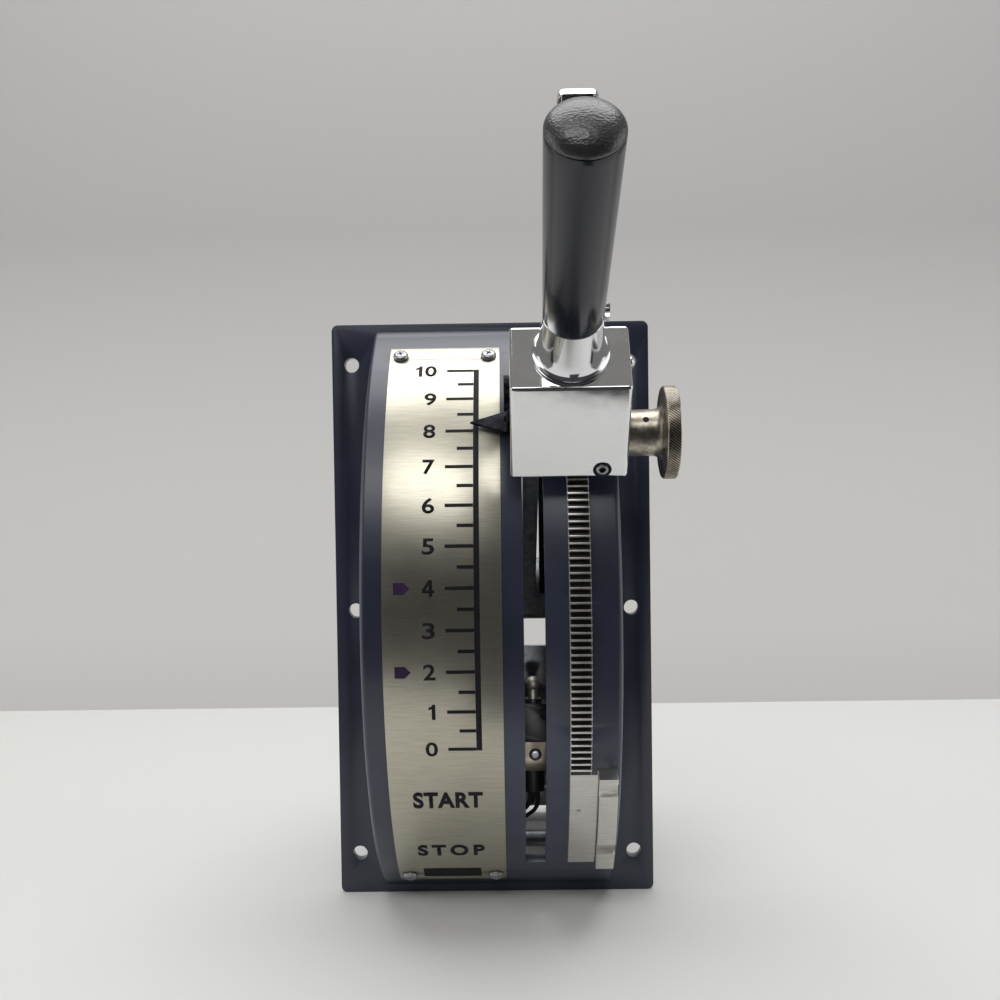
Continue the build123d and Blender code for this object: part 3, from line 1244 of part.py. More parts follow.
# ================= export =================

pieces = {
    "housing_casting": housing_casting,
    "scale_plate": scale_plate,
    "scale_screws": scale_screws,
    "rack_sector": rack_sector,
    "rack_screws": rack_screws,
    "detent_block": detent_block,
    "frame_left": frames["frame_left"],
    "frame_right": frames["frame_right"],
    "rear_plate": rear_plate,
    "rear_screws": rear_screws,
    "frame_screws": frame_screws,
    "tie_rods": tie_rods,
    "tie_nuts": tie_nuts,
    "shaft_bushes": shaft_bushes,
    "switch_bracket": switch_bracket,
    "guard_strip": guard_strip,
    "bracket_screws": bracket_screws,
    "bracket_rivet": bracket_rivet,
    "stop_switch": stop_switch,
    "lead_gland": lead_gland,
    "start_switch": start_switch,
    "terminal_block": terminal_block,
    "terminal_screws": terminal_screws,
    "small_screws": small_screws,
    "sender_body": sender_body,
    "sender_nut": sender_nut,
    "leads": leads,
    "brake_pad": brake_pad,
    "main_shaft": main_shaft,
    "shaft_key": shaft_key,
    "lever_arm": lever_arm,
    "lever_block": lever_block,
    "arm_screws": arm_screws,
    "pointer": pointer,
    "pointer_screws": pointer_screws,
    "handle_rod": handle_rod,
    "ferrule": ferrule,
    "grip": grip,
    "grip_cap": grip_cap,
    "block_bush": block_bush,
    "bush_set_screw": bush_set_screw,
    "trigger_pin": trigger_pin,
    "trigger_spring": trigger_spring,
    "switch_cam": switch_cam,
    "drive_gear": drive_gear,
    "brake_disc": brake_disc,
    "brake_spring": brake_spring,
    "brake_nut": brake_nut,
    "shaft_collar": shaft_collar,
    "knob": knob,
    "knob_shaft": knob_shaft,
    "knob_pin": knob_pin,
    "pinion": pinion,
    "trigger_lever": trigger_lever,
    "drive_pin": drive_pin,
    "latch_bar": latch_bar,
    "stop_plunger": stop_plunger,
    "start_plunger": start_plunger,
    "sender_shaft": sender_shaft,
    "sender_gear": sender_gear,
}
os.makedirs("parts", exist_ok=True)
for name, piece in pieces.items():
    piece.part.label = name
    export_step(piece.part, f"parts/{name}.step")
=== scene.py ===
import bpy
import json
import math
from mathutils import Matrix, Vector


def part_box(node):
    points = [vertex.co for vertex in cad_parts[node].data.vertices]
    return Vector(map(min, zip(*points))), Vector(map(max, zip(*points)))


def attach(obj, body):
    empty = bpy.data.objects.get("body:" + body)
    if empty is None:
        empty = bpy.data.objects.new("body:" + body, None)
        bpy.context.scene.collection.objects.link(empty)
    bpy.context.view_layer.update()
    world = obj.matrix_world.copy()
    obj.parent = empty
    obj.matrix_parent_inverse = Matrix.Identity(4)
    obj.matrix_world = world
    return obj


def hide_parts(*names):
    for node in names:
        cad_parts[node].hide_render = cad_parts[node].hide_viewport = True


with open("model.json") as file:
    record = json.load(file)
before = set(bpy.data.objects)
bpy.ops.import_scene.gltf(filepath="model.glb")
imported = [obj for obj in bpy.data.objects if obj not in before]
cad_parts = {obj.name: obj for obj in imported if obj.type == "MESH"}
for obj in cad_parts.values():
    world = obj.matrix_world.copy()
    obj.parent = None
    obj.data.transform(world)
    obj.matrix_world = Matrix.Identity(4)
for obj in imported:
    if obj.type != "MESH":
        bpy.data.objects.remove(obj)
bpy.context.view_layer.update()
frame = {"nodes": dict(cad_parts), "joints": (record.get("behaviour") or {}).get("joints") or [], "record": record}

# ---------------------------------------------------------------- places, from the frame
MM = 0.001
JOINTS = {joint["name"]: joint for joint in frame["joints"]}
AXIS = Vector(JOINTS["lever_swing"]["pos_m"])
KNOB_CENTRE = Vector(JOINTS["knob_turn"]["pos_m"])
RIGHT = Vector((1, 0, 0))
LIFT = Vector(JOINTS["latch_lift"]["axis"])          # along the lever, outwards
ACROSS = LIFT.cross(RIGHT)                           # across the lever, upwards


def middle_x(node):
    low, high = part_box(node)
    return (low.x + high.x) / 2


def radius_from_axis(node):
    """Largest distance of a CAD node from the lever's axis, seen from the side."""
    return max(math.hypot(v.co.y - AXIS.y, v.co.z - AXIS.z) for v in frame["nodes"][node].data.vertices)


HANDLE_X = middle_x("handle_rod") / MM
RACK_X = middle_x("rack_sector")
PLATE_R = radius_from_axis("scale_plate")
FLOOR_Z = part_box("housing_casting")[0].z


def on_drum(x, degrees_up, radius):
    """Matrix of a spot on the drum: local X to the right, local Y up the arc, local Z outwards."""
    a = math.radians(degrees_up)
    out = Vector((0, -math.cos(a), math.sin(a)))
    up = Vector((0, math.sin(a), math.cos(a)))
    place = Matrix((RIGHT, up, out)).transposed().to_4x4()
    place.translation = AXIS + RIGHT * x + out * radius
    return place


def on_lever(x, u, t=0.0):
    """Matrix of a spot on the lever, in mm: local X to the right, Y across the lever, Z outwards along it."""
    place = Matrix((RIGHT, ACROSS, LIFT)).transposed().to_4x4()
    place.translation = AXIS + (RIGHT * x + LIFT * u + ACROSS * t) * MM
    return place


# ---------------------------------------------------------------- modelling helpers
def clear():
    """Leave edit mode and deselect everything."""
    if bpy.context.object and bpy.context.object.mode != "OBJECT":
        close_edit()
    bpy.ops.object.select_all(action="DESELECT")


def pick(obj):
    """Select one object alone and make it the active one."""
    clear()
    obj.select_set(True)
    bpy.context.view_layer.objects.active = obj
    return obj


def edit(obj, mode):
    """Open an object in edit mode, with all of it selected."""
    pick(obj)
    bpy.ops.object.mode_set(mode="EDIT")
    bpy.ops.mesh.select_mode(type=mode)
    bpy.ops.mesh.select_all(action="SELECT")


def close_edit():
    bpy.ops.object.mode_set(mode="OBJECT")


def choose(obj, test, kind="vertices"):
    """Select the parts of a mesh whose place passes the test, with the object left in edit mode."""
    if obj.mode != "OBJECT":
        close_edit()
    mesh = obj.data
    for group in (mesh.vertices, mesh.edges, mesh.polygons):
        group.foreach_set("select", [False] * len(group))
    for part in getattr(mesh, kind):
        part.select = test(part)
    bpy.context.tool_settings.mesh_select_mode = (kind == "vertices", False, kind == "polygons")
    bpy.ops.object.mode_set(mode="EDIT")


def face_outwards():
    """Turn all faces of the mesh in edit mode outwards, and leave edit mode."""
    bpy.ops.mesh.select_all(action="SELECT")
    bpy.ops.mesh.normals_make_consistent(inside=False)
    close_edit()


def settle(obj, place=None):
    """Put a finished piece's place into its mesh, so that its object stands at the origin."""
    pick(obj)
    bpy.ops.object.transform_apply(location=True, rotation=True, scale=True)
    if place is not None:
        obj.data.transform(place)
    return obj


def apply_modifiers(obj):
    pick(obj)
    for modifier in list(obj.modifiers):
        bpy.ops.object.modifier_apply(modifier=modifier.name)


def bevel(obj, width, angle=35):
    modifier = obj.modifiers.new("edge", "BEVEL")
    modifier.width = width
    modifier.segments = 2
    modifier.limit_method = "ANGLE"
    modifier.angle_limit = math.radians(angle)
    modifier.use_clamp_overlap = True
    apply_modifiers(obj)


def smooth(obj, angle):
    pick(obj)
    bpy.ops.object.shade_smooth_by_angle(angle=math.radians(angle))


def copied(obj, place):
    """A copy with its own mesh, at another place."""
    other = obj.copy()
    other.data = obj.data.copy()
    bpy.context.scene.collection.objects.link(other)
    other.data.transform(place)
    return other


def joined(pieces):
    clear()
    for piece in pieces:
        piece.select_set(True)
    bpy.context.view_layer.objects.active = pieces[0]
    bpy.ops.object.join()
    return pieces[0]


def finish_piece(obj, name, body, material, replaces=()):
    obj.name = name
    obj.data.name = name
    obj.data.materials.clear()
    obj.data.materials.append(material)
    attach(obj, body)
    if replaces:
        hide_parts(*replaces)
    return obj


def softened(node, width):
    """A copy of a CAD node with its loose triangles merged into flat faces and its edges eased."""
    obj = bpy.data.objects.new(node + "_eased", frame["nodes"][node].data.copy())
    bpy.context.scene.collection.objects.link(obj)
    edit(obj, "VERT")
    bpy.ops.mesh.remove_doubles(threshold=0.001 * MM)
    bpy.ops.mesh.dissolve_limited(angle_limit=math.radians(1.5), delimit={"NORMAL"})
    close_edit()
    bevel(obj, width)
    smooth(obj, 40)
    return obj


def turned_piece(profile, place, steps=96):
    """Draw a ring up its profile of (radius, height) points in mm; a radius of 0 closes it in a pole."""
    pole = 0.001
    clear()
    rings = [(max(radius, pole), height) for radius, height in profile]
    radius, height = rings[0]
    bpy.ops.mesh.primitive_circle_add(vertices=steps, radius=radius * MM, fill_type="NOTHING")
    obj = bpy.context.object
    edit(obj, "EDGE")
    bpy.ops.transform.translate(value=(0, 0, height * MM))
    for next_radius, next_height in rings[1:]:
        rise = (0, 0, (next_height - height) * MM)
        bpy.ops.mesh.extrude_region_move(TRANSFORM_OT_translate={"value": rise})
        growth = next_radius / radius
        bpy.ops.transform.resize(value=(growth, growth, 1), center_override=(0, 0, next_height * MM))
        radius, height = next_radius, next_height
    bpy.ops.mesh.select_all(action="SELECT")
    bpy.ops.mesh.remove_doubles(threshold=3 * pole * MM)
    face_outwards()
    return settle(obj, place)


def plate_piece(outline, thickness, place):
    """A flat plate: a filled ring with one corner for each point of the outline in mm, then extruded upwards."""
    clear()
    bpy.ops.mesh.primitive_circle_add(vertices=len(outline), radius=1 * MM, fill_type="NGON")
    obj = bpy.context.object
    for vertex, (x, y) in zip(obj.data.vertices, outline):
        vertex.co = (x * MM, y * MM, 0)
    edit(obj, "FACE")
    bpy.ops.mesh.extrude_region_move(TRANSFORM_OT_translate={"value": (0, 0, thickness * MM)})
    face_outwards()
    return settle(obj, place)


def quarter(steps):
    """Angles of an even quarter turn, without its first one."""
    return [math.radians(90 * step / steps) for step in range(1, steps + 1)]


# ---------------------------------------------------------------- material helpers
def linear(hex_code):
    """An sRGB hex value as linear light."""
    channels = [int(hex_code[i:i + 2], 16) / 255 for i in (0, 2, 4)]
    return tuple(c / 12.92 if c <= 0.04045 else ((c + 0.055) / 1.055) ** 2.4 for c in channels) + (1.0,)


def grey(value):
    return (value, value, value, 1.0)


def per(size_mm):
    """Scale of a pattern on metres whose features are to be this large."""
    return 1 / (size_mm * MM)


def add(tree, kind, settings=None, **links):
    """Add a node: settings go to its properties, inputs or ramp stops; links join its inputs to other outputs."""
    node = tree.nodes.new(kind)
    for key, value in (settings or {}).items():
        if key == "stops":
            elements = node.color_ramp.elements
            for element, (position, colour) in ((elements[0], value[0]), (elements[1], value[-1])):
                element.position = position
                element.color = colour
            for position, colour in value[1:-1]:
                elements.new(position).color = colour
        elif isinstance(key, int) or key in node.inputs:
            node.inputs[key].default_value = value
        else:
            setattr(node, key, value)
    for key, source in links.items():
        numbered = key[0] == "i" and key[1:].isdigit()
        tree.links.new(source, node.inputs[int(key[1:]) if numbered else key.replace("_", " ")])
    return node


def new_material(name, **shader):
    """A material, its node tree and shader, and the place on the piece that its patterns follow."""
    material = bpy.data.materials.new(name)
    material.use_nodes = True
    tree = material.node_tree
    bsdf = tree.nodes["Principled BSDF"]
    for key, value in shader.items():
        bsdf.inputs[key.replace("_", " ")].default_value = value
    return material, tree, bsdf, add(tree, "ShaderNodeTexCoord").outputs["Object"]


def feed(bsdf, **sources):
    """Join node outputs to a shader's inputs."""
    for key, source in sources.items():
        bsdf.id_data.links.new(source, bsdf.inputs[key.replace("_", " ")])


# ---------------------------------------------------------------- materials
def stove_enamel():
    """Stove enamel on cast aluminium: deep navy, satin, with a faint orange peel and dusty patches."""
    material, tree, bsdf, place = new_material("navy_stove_enamel", IOR=1.5, Coat_Weight=0.6, Coat_Roughness=0.30)
    cloud = add(tree, "ShaderNodeTexNoise", {"Scale": per(28), "Detail": 4.0}, Vector=place)
    peel = add(tree, "ShaderNodeTexNoise", {"Scale": per(1.1), "Detail": 2.0}, Vector=place)
    dust = add(tree, "ShaderNodeTexNoise", {"Scale": per(0.5), "Detail": 5.0}, Vector=place)
    colour = add(tree, "ShaderNodeValToRGB", {"stops": [(0.35, linear("1A2034")), (0.65, linear("232A41"))]},
                 Fac=cloud.outputs["Fac"])
    specks = add(tree, "ShaderNodeValToRGB", {"stops": [(0.70, grey(0.0)), (0.80, grey(0.35))]},
                 Fac=dust.outputs["Fac"])
    dusty = add(tree, "ShaderNodeMix", {"data_type": "RGBA", 7: linear("4A5062")},
                i0=specks.outputs["Color"], i6=colour.outputs["Color"])
    rough = add(tree, "ShaderNodeMapRange", {"To Min": 0.36, "To Max": 0.48}, Value=cloud.outputs["Fac"])
    bump = add(tree, "ShaderNodeBump", {"Strength": 0.30, "Distance": 0.05 * MM}, Height=peel.outputs["Fac"])
    feed(bsdf, Base_Color=dusty.outputs[2], Roughness=rough.outputs[0], Normal=bump.outputs[0])
    return material


def brushed(name, light, dark, roughness, grain_mm, anisotropic=0.0, stain=None):
    """Brushed metal: fine parallel scratches along X, with slight tone changes between them.

    Real scratches are finer than grain_mm; they are drawn as coarse as they need to show.
    """
    material, tree, bsdf, place = new_material(name, Metallic=1.0, Anisotropic=anisotropic)
    drawn_out = add(tree, "ShaderNodeMapping", {"Scale": (0.02 / (grain_mm * MM), per(grain_mm), per(grain_mm))},
                    Vector=place)
    scratch = add(tree, "ShaderNodeTexNoise", {"Scale": 1.0, "Detail": 6.0, "Roughness": 0.65},
                  Vector=drawn_out.outputs[0])
    cloud = add(tree, "ShaderNodeTexNoise", {"Scale": per(22), "Detail": 3.0}, Vector=place)
    colour = add(tree, "ShaderNodeValToRGB", {"stops": [(0.30, linear(dark)), (0.70, linear(light))]},
                 Fac=scratch.outputs["Fac"]).outputs["Color"]
    if stain:
        spots = add(tree, "ShaderNodeTexNoise", {"Scale": per(6), "Detail": 5.0, "Roughness": 0.7}, Vector=place)
        stained = add(tree, "ShaderNodeValToRGB", {"stops": [(0.62, grey(0.0)), (0.74, grey(0.45))]},
                      Fac=spots.outputs["Fac"])
        colour = add(tree, "ShaderNodeMix", {"data_type": "RGBA", 7: linear(stain)},
                     i0=stained.outputs["Color"], i6=colour).outputs[2]
    rough = add(tree, "ShaderNodeMapRange", {"To Min": roughness - 0.05, "To Max": roughness + 0.07},
                Value=cloud.outputs["Fac"])
    bump = add(tree, "ShaderNodeBump", {"Strength": 0.12, "Distance": 0.02 * MM}, Height=scratch.outputs["Fac"])
    feed(bsdf, Base_Color=colour, Roughness=rough.outputs[0], Normal=bump.outputs[0])
    return material


def chrome(name, tint, roughness=0.06):
    """Decorative chrome plate over polished steel: mirror bright, with faint waviness, haze and pits."""
    material, tree, bsdf, place = new_material(name, Metallic=1.0)
    haze = add(tree, "ShaderNodeTexNoise", {"Scale": per(9), "Detail": 4.0}, Vector=place)
    wave = add(tree, "ShaderNodeTexNoise", {"Scale": per(7), "Detail": 1.0}, Vector=place)
    pits = add(tree, "ShaderNodeTexNoise", {"Scale": per(0.45), "Detail": 3.0}, Vector=place)
    colour = add(tree, "ShaderNodeValToRGB", {"stops": [(0.26, linear("C2C2C4")), (0.38, linear(tint))]},
                 Fac=pits.outputs["Fac"])
    rough = add(tree, "ShaderNodeMapRange",
                {"From Min": 0.35, "From Max": 0.7, "To Min": roughness, "To Max": roughness + 0.08},
                Value=haze.outputs["Fac"])
    bump = add(tree, "ShaderNodeBump", {"Strength": 0.06, "Distance": 0.15 * MM}, Height=wave.outputs["Fac"])
    feed(bsdf, Base_Color=colour.outputs["Color"], Roughness=rough.outputs[0], Normal=bump.outputs[0])
    return material


def moulded(name, colour_hex, roughness, grain_mm, grain_depth, coat=0.0, stretch=1.0, gloss=0.5):
    """Moulded plastic or rubber: one dark tone, slightly cloudy, with a fine moulded grain."""
    material, tree, bsdf, place = new_material(
        name, IOR=1.5, Coat_Weight=coat, Coat_Roughness=0.08, Specular_IOR_Level=gloss)
    base = linear(colour_hex)
    lighter = tuple(min(1.0, c * 1.35 + 0.002) for c in base[:3]) + (1.0,)
    cloud = add(tree, "ShaderNodeTexNoise", {"Scale": per(15), "Detail": 3.0}, Vector=place)
    colour = add(tree, "ShaderNodeValToRGB", {"stops": [(0.35, base), (0.65, lighter)]}, Fac=cloud.outputs["Fac"])
    rough = add(tree, "ShaderNodeMapRange", {"To Min": roughness - 0.04, "To Max": roughness + 0.06},
                Value=cloud.outputs["Fac"])
    scaled = add(tree, "ShaderNodeMapping", {"Scale": (stretch / (grain_mm * MM), per(grain_mm), per(grain_mm))},
                 Vector=place)
    grain = add(tree, "ShaderNodeTexVoronoi", {"Scale": 1.0}, Vector=scaled.outputs[0])
    bump = add(tree, "ShaderNodeBump", {"Strength": 0.5, "Distance": grain_depth * MM},
               Height=grain.outputs["Distance"])
    feed(bsdf, Base_Color=colour.outputs["Color"], Roughness=rough.outputs[0], Normal=bump.outputs[0])
    return material


def turned_metal(name, light, dark, roughness):
    """Turned or plated metal that has been handled: tone worn between two shades, soft highlights."""
    material, tree, bsdf, place = new_material(name, Metallic=1.0)
    wear = add(tree, "ShaderNodeTexNoise", {"Scale": per(3.5), "Detail": 6.0, "Roughness": 0.65}, Vector=place)
    fine = add(tree, "ShaderNodeTexNoise", {"Scale": per(0.4), "Detail": 3.0}, Vector=place)
    colour = add(tree, "ShaderNodeValToRGB", {"stops": [(0.32, linear(dark)), (0.66, linear(light))]},
                 Fac=wear.outputs["Fac"])
    rough = add(tree, "ShaderNodeMapRange", {"To Min": roughness - 0.06, "To Max": roughness + 0.12},
                Value=wear.outputs["Fac"])
    bump = add(tree, "ShaderNodeBump", {"Strength": 0.15, "Distance": 0.02 * MM}, Height=fine.outputs["Fac"])
    feed(bsdf, Base_Color=colour.outputs["Color"], Roughness=rough.outputs[0], Normal=bump.outputs[0])
    return material


def greased_rack():
    """Machined steel rack packed with dark grease, its tooth hollows also painted dark as shade: the tooth tips and
    the burrs at its sides are wiped bright.
    """
    tips = (166.72, 166.92)          # radius at which the grease and painted shade give way to steel, in mm
    sides = (4.22, 4.4)              # and the distance from the rack's middle
    unevenness = 0.5
    material, tree, bsdf, place = new_material("greased_rack")
    smear = add(tree, "ShaderNodeTexNoise", {"Scale": per(1.6), "Detail": 5.0}, Vector=place)
    from_axis = add(tree, "ShaderNodeVectorMath",
                    {"operation": "MULTIPLY_ADD", 1: (0, 1, 1), 2: (0, -AXIS.y, -AXIS.z)}, i0=place)
    radius = add(tree, "ShaderNodeVectorMath", {"operation": "LENGTH"}, i0=from_axis.outputs[0])
    uneven = add(tree, "ShaderNodeMath", {"operation": "MULTIPLY_ADD", 1: unevenness * MM, 2: -unevenness / 2 * MM},
                 i0=smear.outputs["Fac"])
    reach = add(tree, "ShaderNodeMath", {"operation": "ADD"}, i0=radius.outputs["Value"], i1=uneven.outputs[0])
    wiped = add(tree, "ShaderNodeMapRange", {"From Min": tips[0] * MM, "From Max": tips[1] * MM},
                Value=reach.outputs[0])
    parts = add(tree, "ShaderNodeSeparateXYZ", i0=place)
    sideways = add(tree, "ShaderNodeMath", {"operation": "SUBTRACT", 1: RACK_X}, i0=parts.outputs["X"])
    from_middle = add(tree, "ShaderNodeMath", {"operation": "ABSOLUTE"}, i0=sideways.outputs[0])
    burr = add(tree, "ShaderNodeMapRange", {"From Min": sides[0] * MM, "From Max": sides[1] * MM},
               Value=from_middle.outputs[0])
    bare_unshaded = add(tree, "ShaderNodeMath", {"operation": "MAXIMUM"}, i0=wiped.outputs[0], i1=burr.outputs[0])
    # Near black below the tips: grease, with painted shade in the hollows between the teeth.
    colour = add(tree, "ShaderNodeValToRGB", {"stops": [(0.0, linear("191612")), (1.0, linear("DAD9D5"))]},
                 Fac=bare_unshaded.outputs[0])
    rough = add(tree, "ShaderNodeMapRange", {"To Min": 0.28, "To Max": 0.5}, Value=smear.outputs["Fac"])
    bump = add(tree, "ShaderNodeBump", {"Strength": 0.4, "Distance": 0.2 * MM}, Height=smear.outputs["Fac"])
    feed(bsdf, Base_Color=colour.outputs["Color"], Metallic=bare_unshaded.outputs[0], Roughness=rough.outputs[0],
         Normal=bump.outputs[0])
    return material


def knurled_nickel():
    """Nickel worn through to brass on a turned knob; the hollows of its knurl are painted dark, as grime and as shade.
    """
    crests = (19.02, 19.28)          # radius at which the grime and painted shade give way to metal, in mm
    rim_middle, rim_half = 75.1, 2.35
    material = turned_metal("worn_nickel_brass", "CCC6B8", "8A8172", 0.30)
    tree = material.node_tree
    bsdf = tree.nodes["Principled BSDF"]
    place = next(node for node in tree.nodes if node.type == "TEX_COORD").outputs["Object"]
    metal = bsdf.inputs["Base Color"].links[0].from_socket
    from_axis = add(tree, "ShaderNodeVectorMath",
                    {"operation": "MULTIPLY_ADD", 1: (0, 1, 1), 2: (0, -KNOB_CENTRE.y, -KNOB_CENTRE.z)}, i0=place)
    radius = add(tree, "ShaderNodeVectorMath", {"operation": "LENGTH"}, i0=from_axis.outputs[0])
    crest = add(tree, "ShaderNodeMapRange", {"From Min": crests[0] * MM, "From Max": crests[1] * MM},
                Value=radius.outputs["Value"])
    parts = add(tree, "ShaderNodeSeparateXYZ", i0=place)
    on_rim = add(tree, "ShaderNodeMath", {"operation": "COMPARE", 1: rim_middle * MM, 2: rim_half * MM},
                 i0=parts.outputs["X"])
    off_rim = add(tree, "ShaderNodeMath", {"operation": "SUBTRACT", 0: 1.0}, i1=on_rim.outputs[0])
    bare_unshaded = add(tree, "ShaderNodeMath", {"operation": "MAXIMUM"}, i0=crest.outputs[0], i1=off_rim.outputs[0])
    # Painted shade, with grime, in the knurl's hollows.
    grime_and_shade = add(tree, "ShaderNodeMix", {"data_type": "RGBA", 6: linear("2E2A26")}, i0=bare_unshaded.outputs[0], i7=metal)
    feed(bsdf, Base_Color=grime_and_shade.outputs[2])
    return material


ENAMEL = stove_enamel()
RACK_STEEL = greased_rack()
STAINLESS = brushed("brushed_stainless", "CBC7B8", "A8A496", 0.32, 0.22)
# Lighter than the scale plate's stainless: painted light on the bracket, which stands in shade inside the housing.
BRACKET_STEEL = brushed("bracket_stainless", "D8CFBC", "B4AA98", 0.55, 0.3, stain="8A7A62")
CHROME = chrome("bright_chrome", "E4E4E6")
SATIN_NICKEL = brushed("satin_nickel", "C8C8C6", "9D9D9B", 0.30, 0.25, anisotropic=0.3)
SCREW_STEEL = turned_metal("screw_nickel", "B9BBBE", "85878B", 0.30)
TRIGGER_CHROME = chrome("pressed_chrome", "DCDCDE", 0.10)
DETENT_STEEL = brushed("detent_plate", "DEDDD8", "B8B7B2", 0.30, 0.25, anisotropic=0.2)
# Whiter than the nickel elsewhere: painted light on the plunger balls, which sit in shade.
BALL_NICKEL = turned_metal("ball_nickel", "EDE9DC", "C2BDAE", 0.48)
# Lighter than the grey steel: painted light on the lever arm, which sits in shade behind the slot.
ARM_STEEL = turned_metal("arm_steel", "C3C6CB", "95989E", 0.50)
ZINC = turned_metal("zinc_plate", "A9ABAF", "84868C", 0.42)
GREY_STEEL = turned_metal("grey_machined_steel", "8F9194", "65676B", 0.38)
BLACK_STEEL = turned_metal("blackened_steel", "34343A", "17171B", 0.42)
BRONZE = turned_metal("bearing_bronze", "B08A55", "7E5F38", 0.35)
KNOB_METAL = knurled_nickel()
GRIP_BLACK = moulded("gloss_grip_moulding", "0B0F1B", 0.20, 0.9, 0.002, coat=0.15)
CAP_BLACK = moulded("grained_cap_moulding", "1C1C20", 0.33, 0.85, 0.22, stretch=0.6, gloss=1.0)
SWITCH_BLACK = moulded("switch_moulding", "141416", 0.45, 0.6, 0.01)
LEAD_BLACK = moulded("lead_sheath", "0D0D0F", 0.38, 0.8, 0.01)
FIBRE = moulded("brake_fibre", "4A382A", 0.75, 0.5, 0.05)
PRINT_BLACK = moulded("scale_print", "131318", 0.55, 0.5, 0.002, gloss=0.2)
PRINT_PURPLE = moulded("marker_print", "2A123C", 0.5, 0.5, 0.002, gloss=0.3)

# Finishes of the CAD nodes: by their material slot, and then by name for the few that differ from it.
SLOT_FINISH = {
    "navy_paint": ENAMEL,
    "plate_steel": STAINLESS,
    "bright_chrome": CHROME,
    "nickel": SATIN_NICKEL,
    "zinc_steel": ZINC,
    "dark_steel": BLACK_STEEL,
    "grey_steel": GREY_STEEL,
    "black_plastic": SWITCH_BLACK,
    "gloss_grip": GRIP_BLACK,
    "grained_cap": CAP_BLACK,
    "bronze": BRONZE,
    "knob_nickel": KNOB_METAL,
    "pad_fibre": FIBRE,
    "lead_black": LEAD_BLACK,
}
NODE_FINISH = {
    "switch_bracket": BRACKET_STEEL,
    "rack_sector": RACK_STEEL,
    "detent_block": DETENT_STEEL,
    "bracket_rivet": SCREW_STEEL,
    "stop_plunger": BALL_NICKEL,
    "start_plunger": BALL_NICKEL,
    "lever_arm": ARM_STEEL,
}
for part in frame["record"]["subparts"]:
    node = frame["nodes"][part["node"]]
    node.data.materials.clear()
    node.data.materials.append(NODE_FINISH.get(part["node"], SLOT_FINISH[part["material_slot"]]))


# ---------------------------------------------------------------- eased CAD pieces
def eased_pieces():
    """The hard-edged CAD pieces that show, with their edges broken as a machinist or a mould would leave them."""
    for node, body, width in (
        ("housing_casting", "housing", 0.35),
        ("rack_sector", "housing", 0.1),
        ("switch_bracket", "housing", 0.25),
        ("frame_left", "housing", 0.25),
        ("frame_right", "housing", 0.25),
        ("rear_plate", "housing", 0.3),
        ("stop_switch", "housing", 0.3),
        ("start_switch", "housing", 0.3),
        ("lever_arm", "lever", 0.25),
        ("pointer", "lever", 0.12),
        ("latch_bar", "latch", 0.2),
        ("guard_strip", "housing", 0.2),
        ("scale_plate", "housing", 0.15),
        ("terminal_block", "housing", 0.3),
        ("sender_body", "housing", 0.3),
    ):
        material = frame["nodes"][node].data.materials[0]
        finish_piece(softened(node, width * MM), node + "_eased", body, material, replaces=(node,))


# ---------------------------------------------------------------- printed scale
# In mm to the right of the axis's middle and degrees up the drum. Ink stands 0.02 to 0.06 mm proud of the plate.
INK = 0.04
INK_R = PLATE_R + 0.02 * MM
MARK_ZERO = -18.66
MARK_STEP = 6.25
MARK_RIGHT = -7.05
LONG_MARK, SHORT_MARK = -19.0, -14.0
MARK_HALF = 0.75
LINE_LEFT, LINE_RIGHT = -7.0, -4.6
LINE_LOW, LINE_HIGH = -18.9, 44.1
DIGIT_LEFT = -28.6
DIGIT_WIDTH, DIGIT_HALF = 5.2, 3.45
WORD_LEFT, WORD_WIDTH = -35.3, 30.4


def mark_angle(number):
    return MARK_ZERO + MARK_STEP * number


def curved_bar(left, right, low, high):
    """A printed bar that follows the drum: its section spun about the lever's axis."""
    clear()
    bpy.ops.mesh.primitive_plane_add(size=1)
    section = bpy.context.object
    middle = Matrix.Translation(((left + right) / 2 * MM, 0, 0))
    stand = Matrix.Rotation(math.radians(90), 4, "X")
    settle(section, on_drum(0, low, INK_R) @ stand @ middle @ Matrix.Diagonal(((right - left) * MM, INK * MM, 1, 1)))
    edit(section, "FACE")
    sweep = high - low
    bpy.ops.mesh.spin(steps=max(2, int(sweep)), angle=math.radians(sweep), center=AXIS, axis=RIGHT)
    face_outwards()
    return section


def words(body, width, height, left, degrees_up, weight, spacing=1.0, turned=False):
    """Printed characters of the wanted width and height in mm, laid flat on the plate."""
    clear()
    bpy.ops.object.text_add()
    obj = bpy.context.object
    obj.data.body = body
    obj.data.resolution_u = 6
    obj.data.offset = weight
    obj.data.space_character = spacing
    pick(obj)
    bpy.ops.object.convert(target="MESH")
    obj = bpy.context.object
    points = [v.co.copy() for v in obj.data.vertices]
    low = Vector((min(p.x for p in points), min(p.y for p in points), 0))
    size = Vector((max(p.x for p in points), max(p.y for p in points), 0)) - low
    for vertex in obj.data.vertices:
        flat = low + size - vertex.co if turned else vertex.co - low
        vertex.co = ((left + flat.x / size.x * width) * MM, (flat.y / size.y - 0.5) * height * MM, 0)
    edit(obj, "FACE")
    bpy.ops.mesh.remove_doubles(threshold=0.005 * MM)
    bpy.ops.mesh.extrude_region_move(TRANSFORM_OT_translate={"value": (0, 0, INK * MM)})
    face_outwards()
    return settle(obj, on_drum(0, degrees_up, INK_R))


def digit(character, left, up, turned=False):
    return words(character, DIGIT_WIDTH, 2 * DIGIT_HALF, left, up, 0.02, turned=turned)


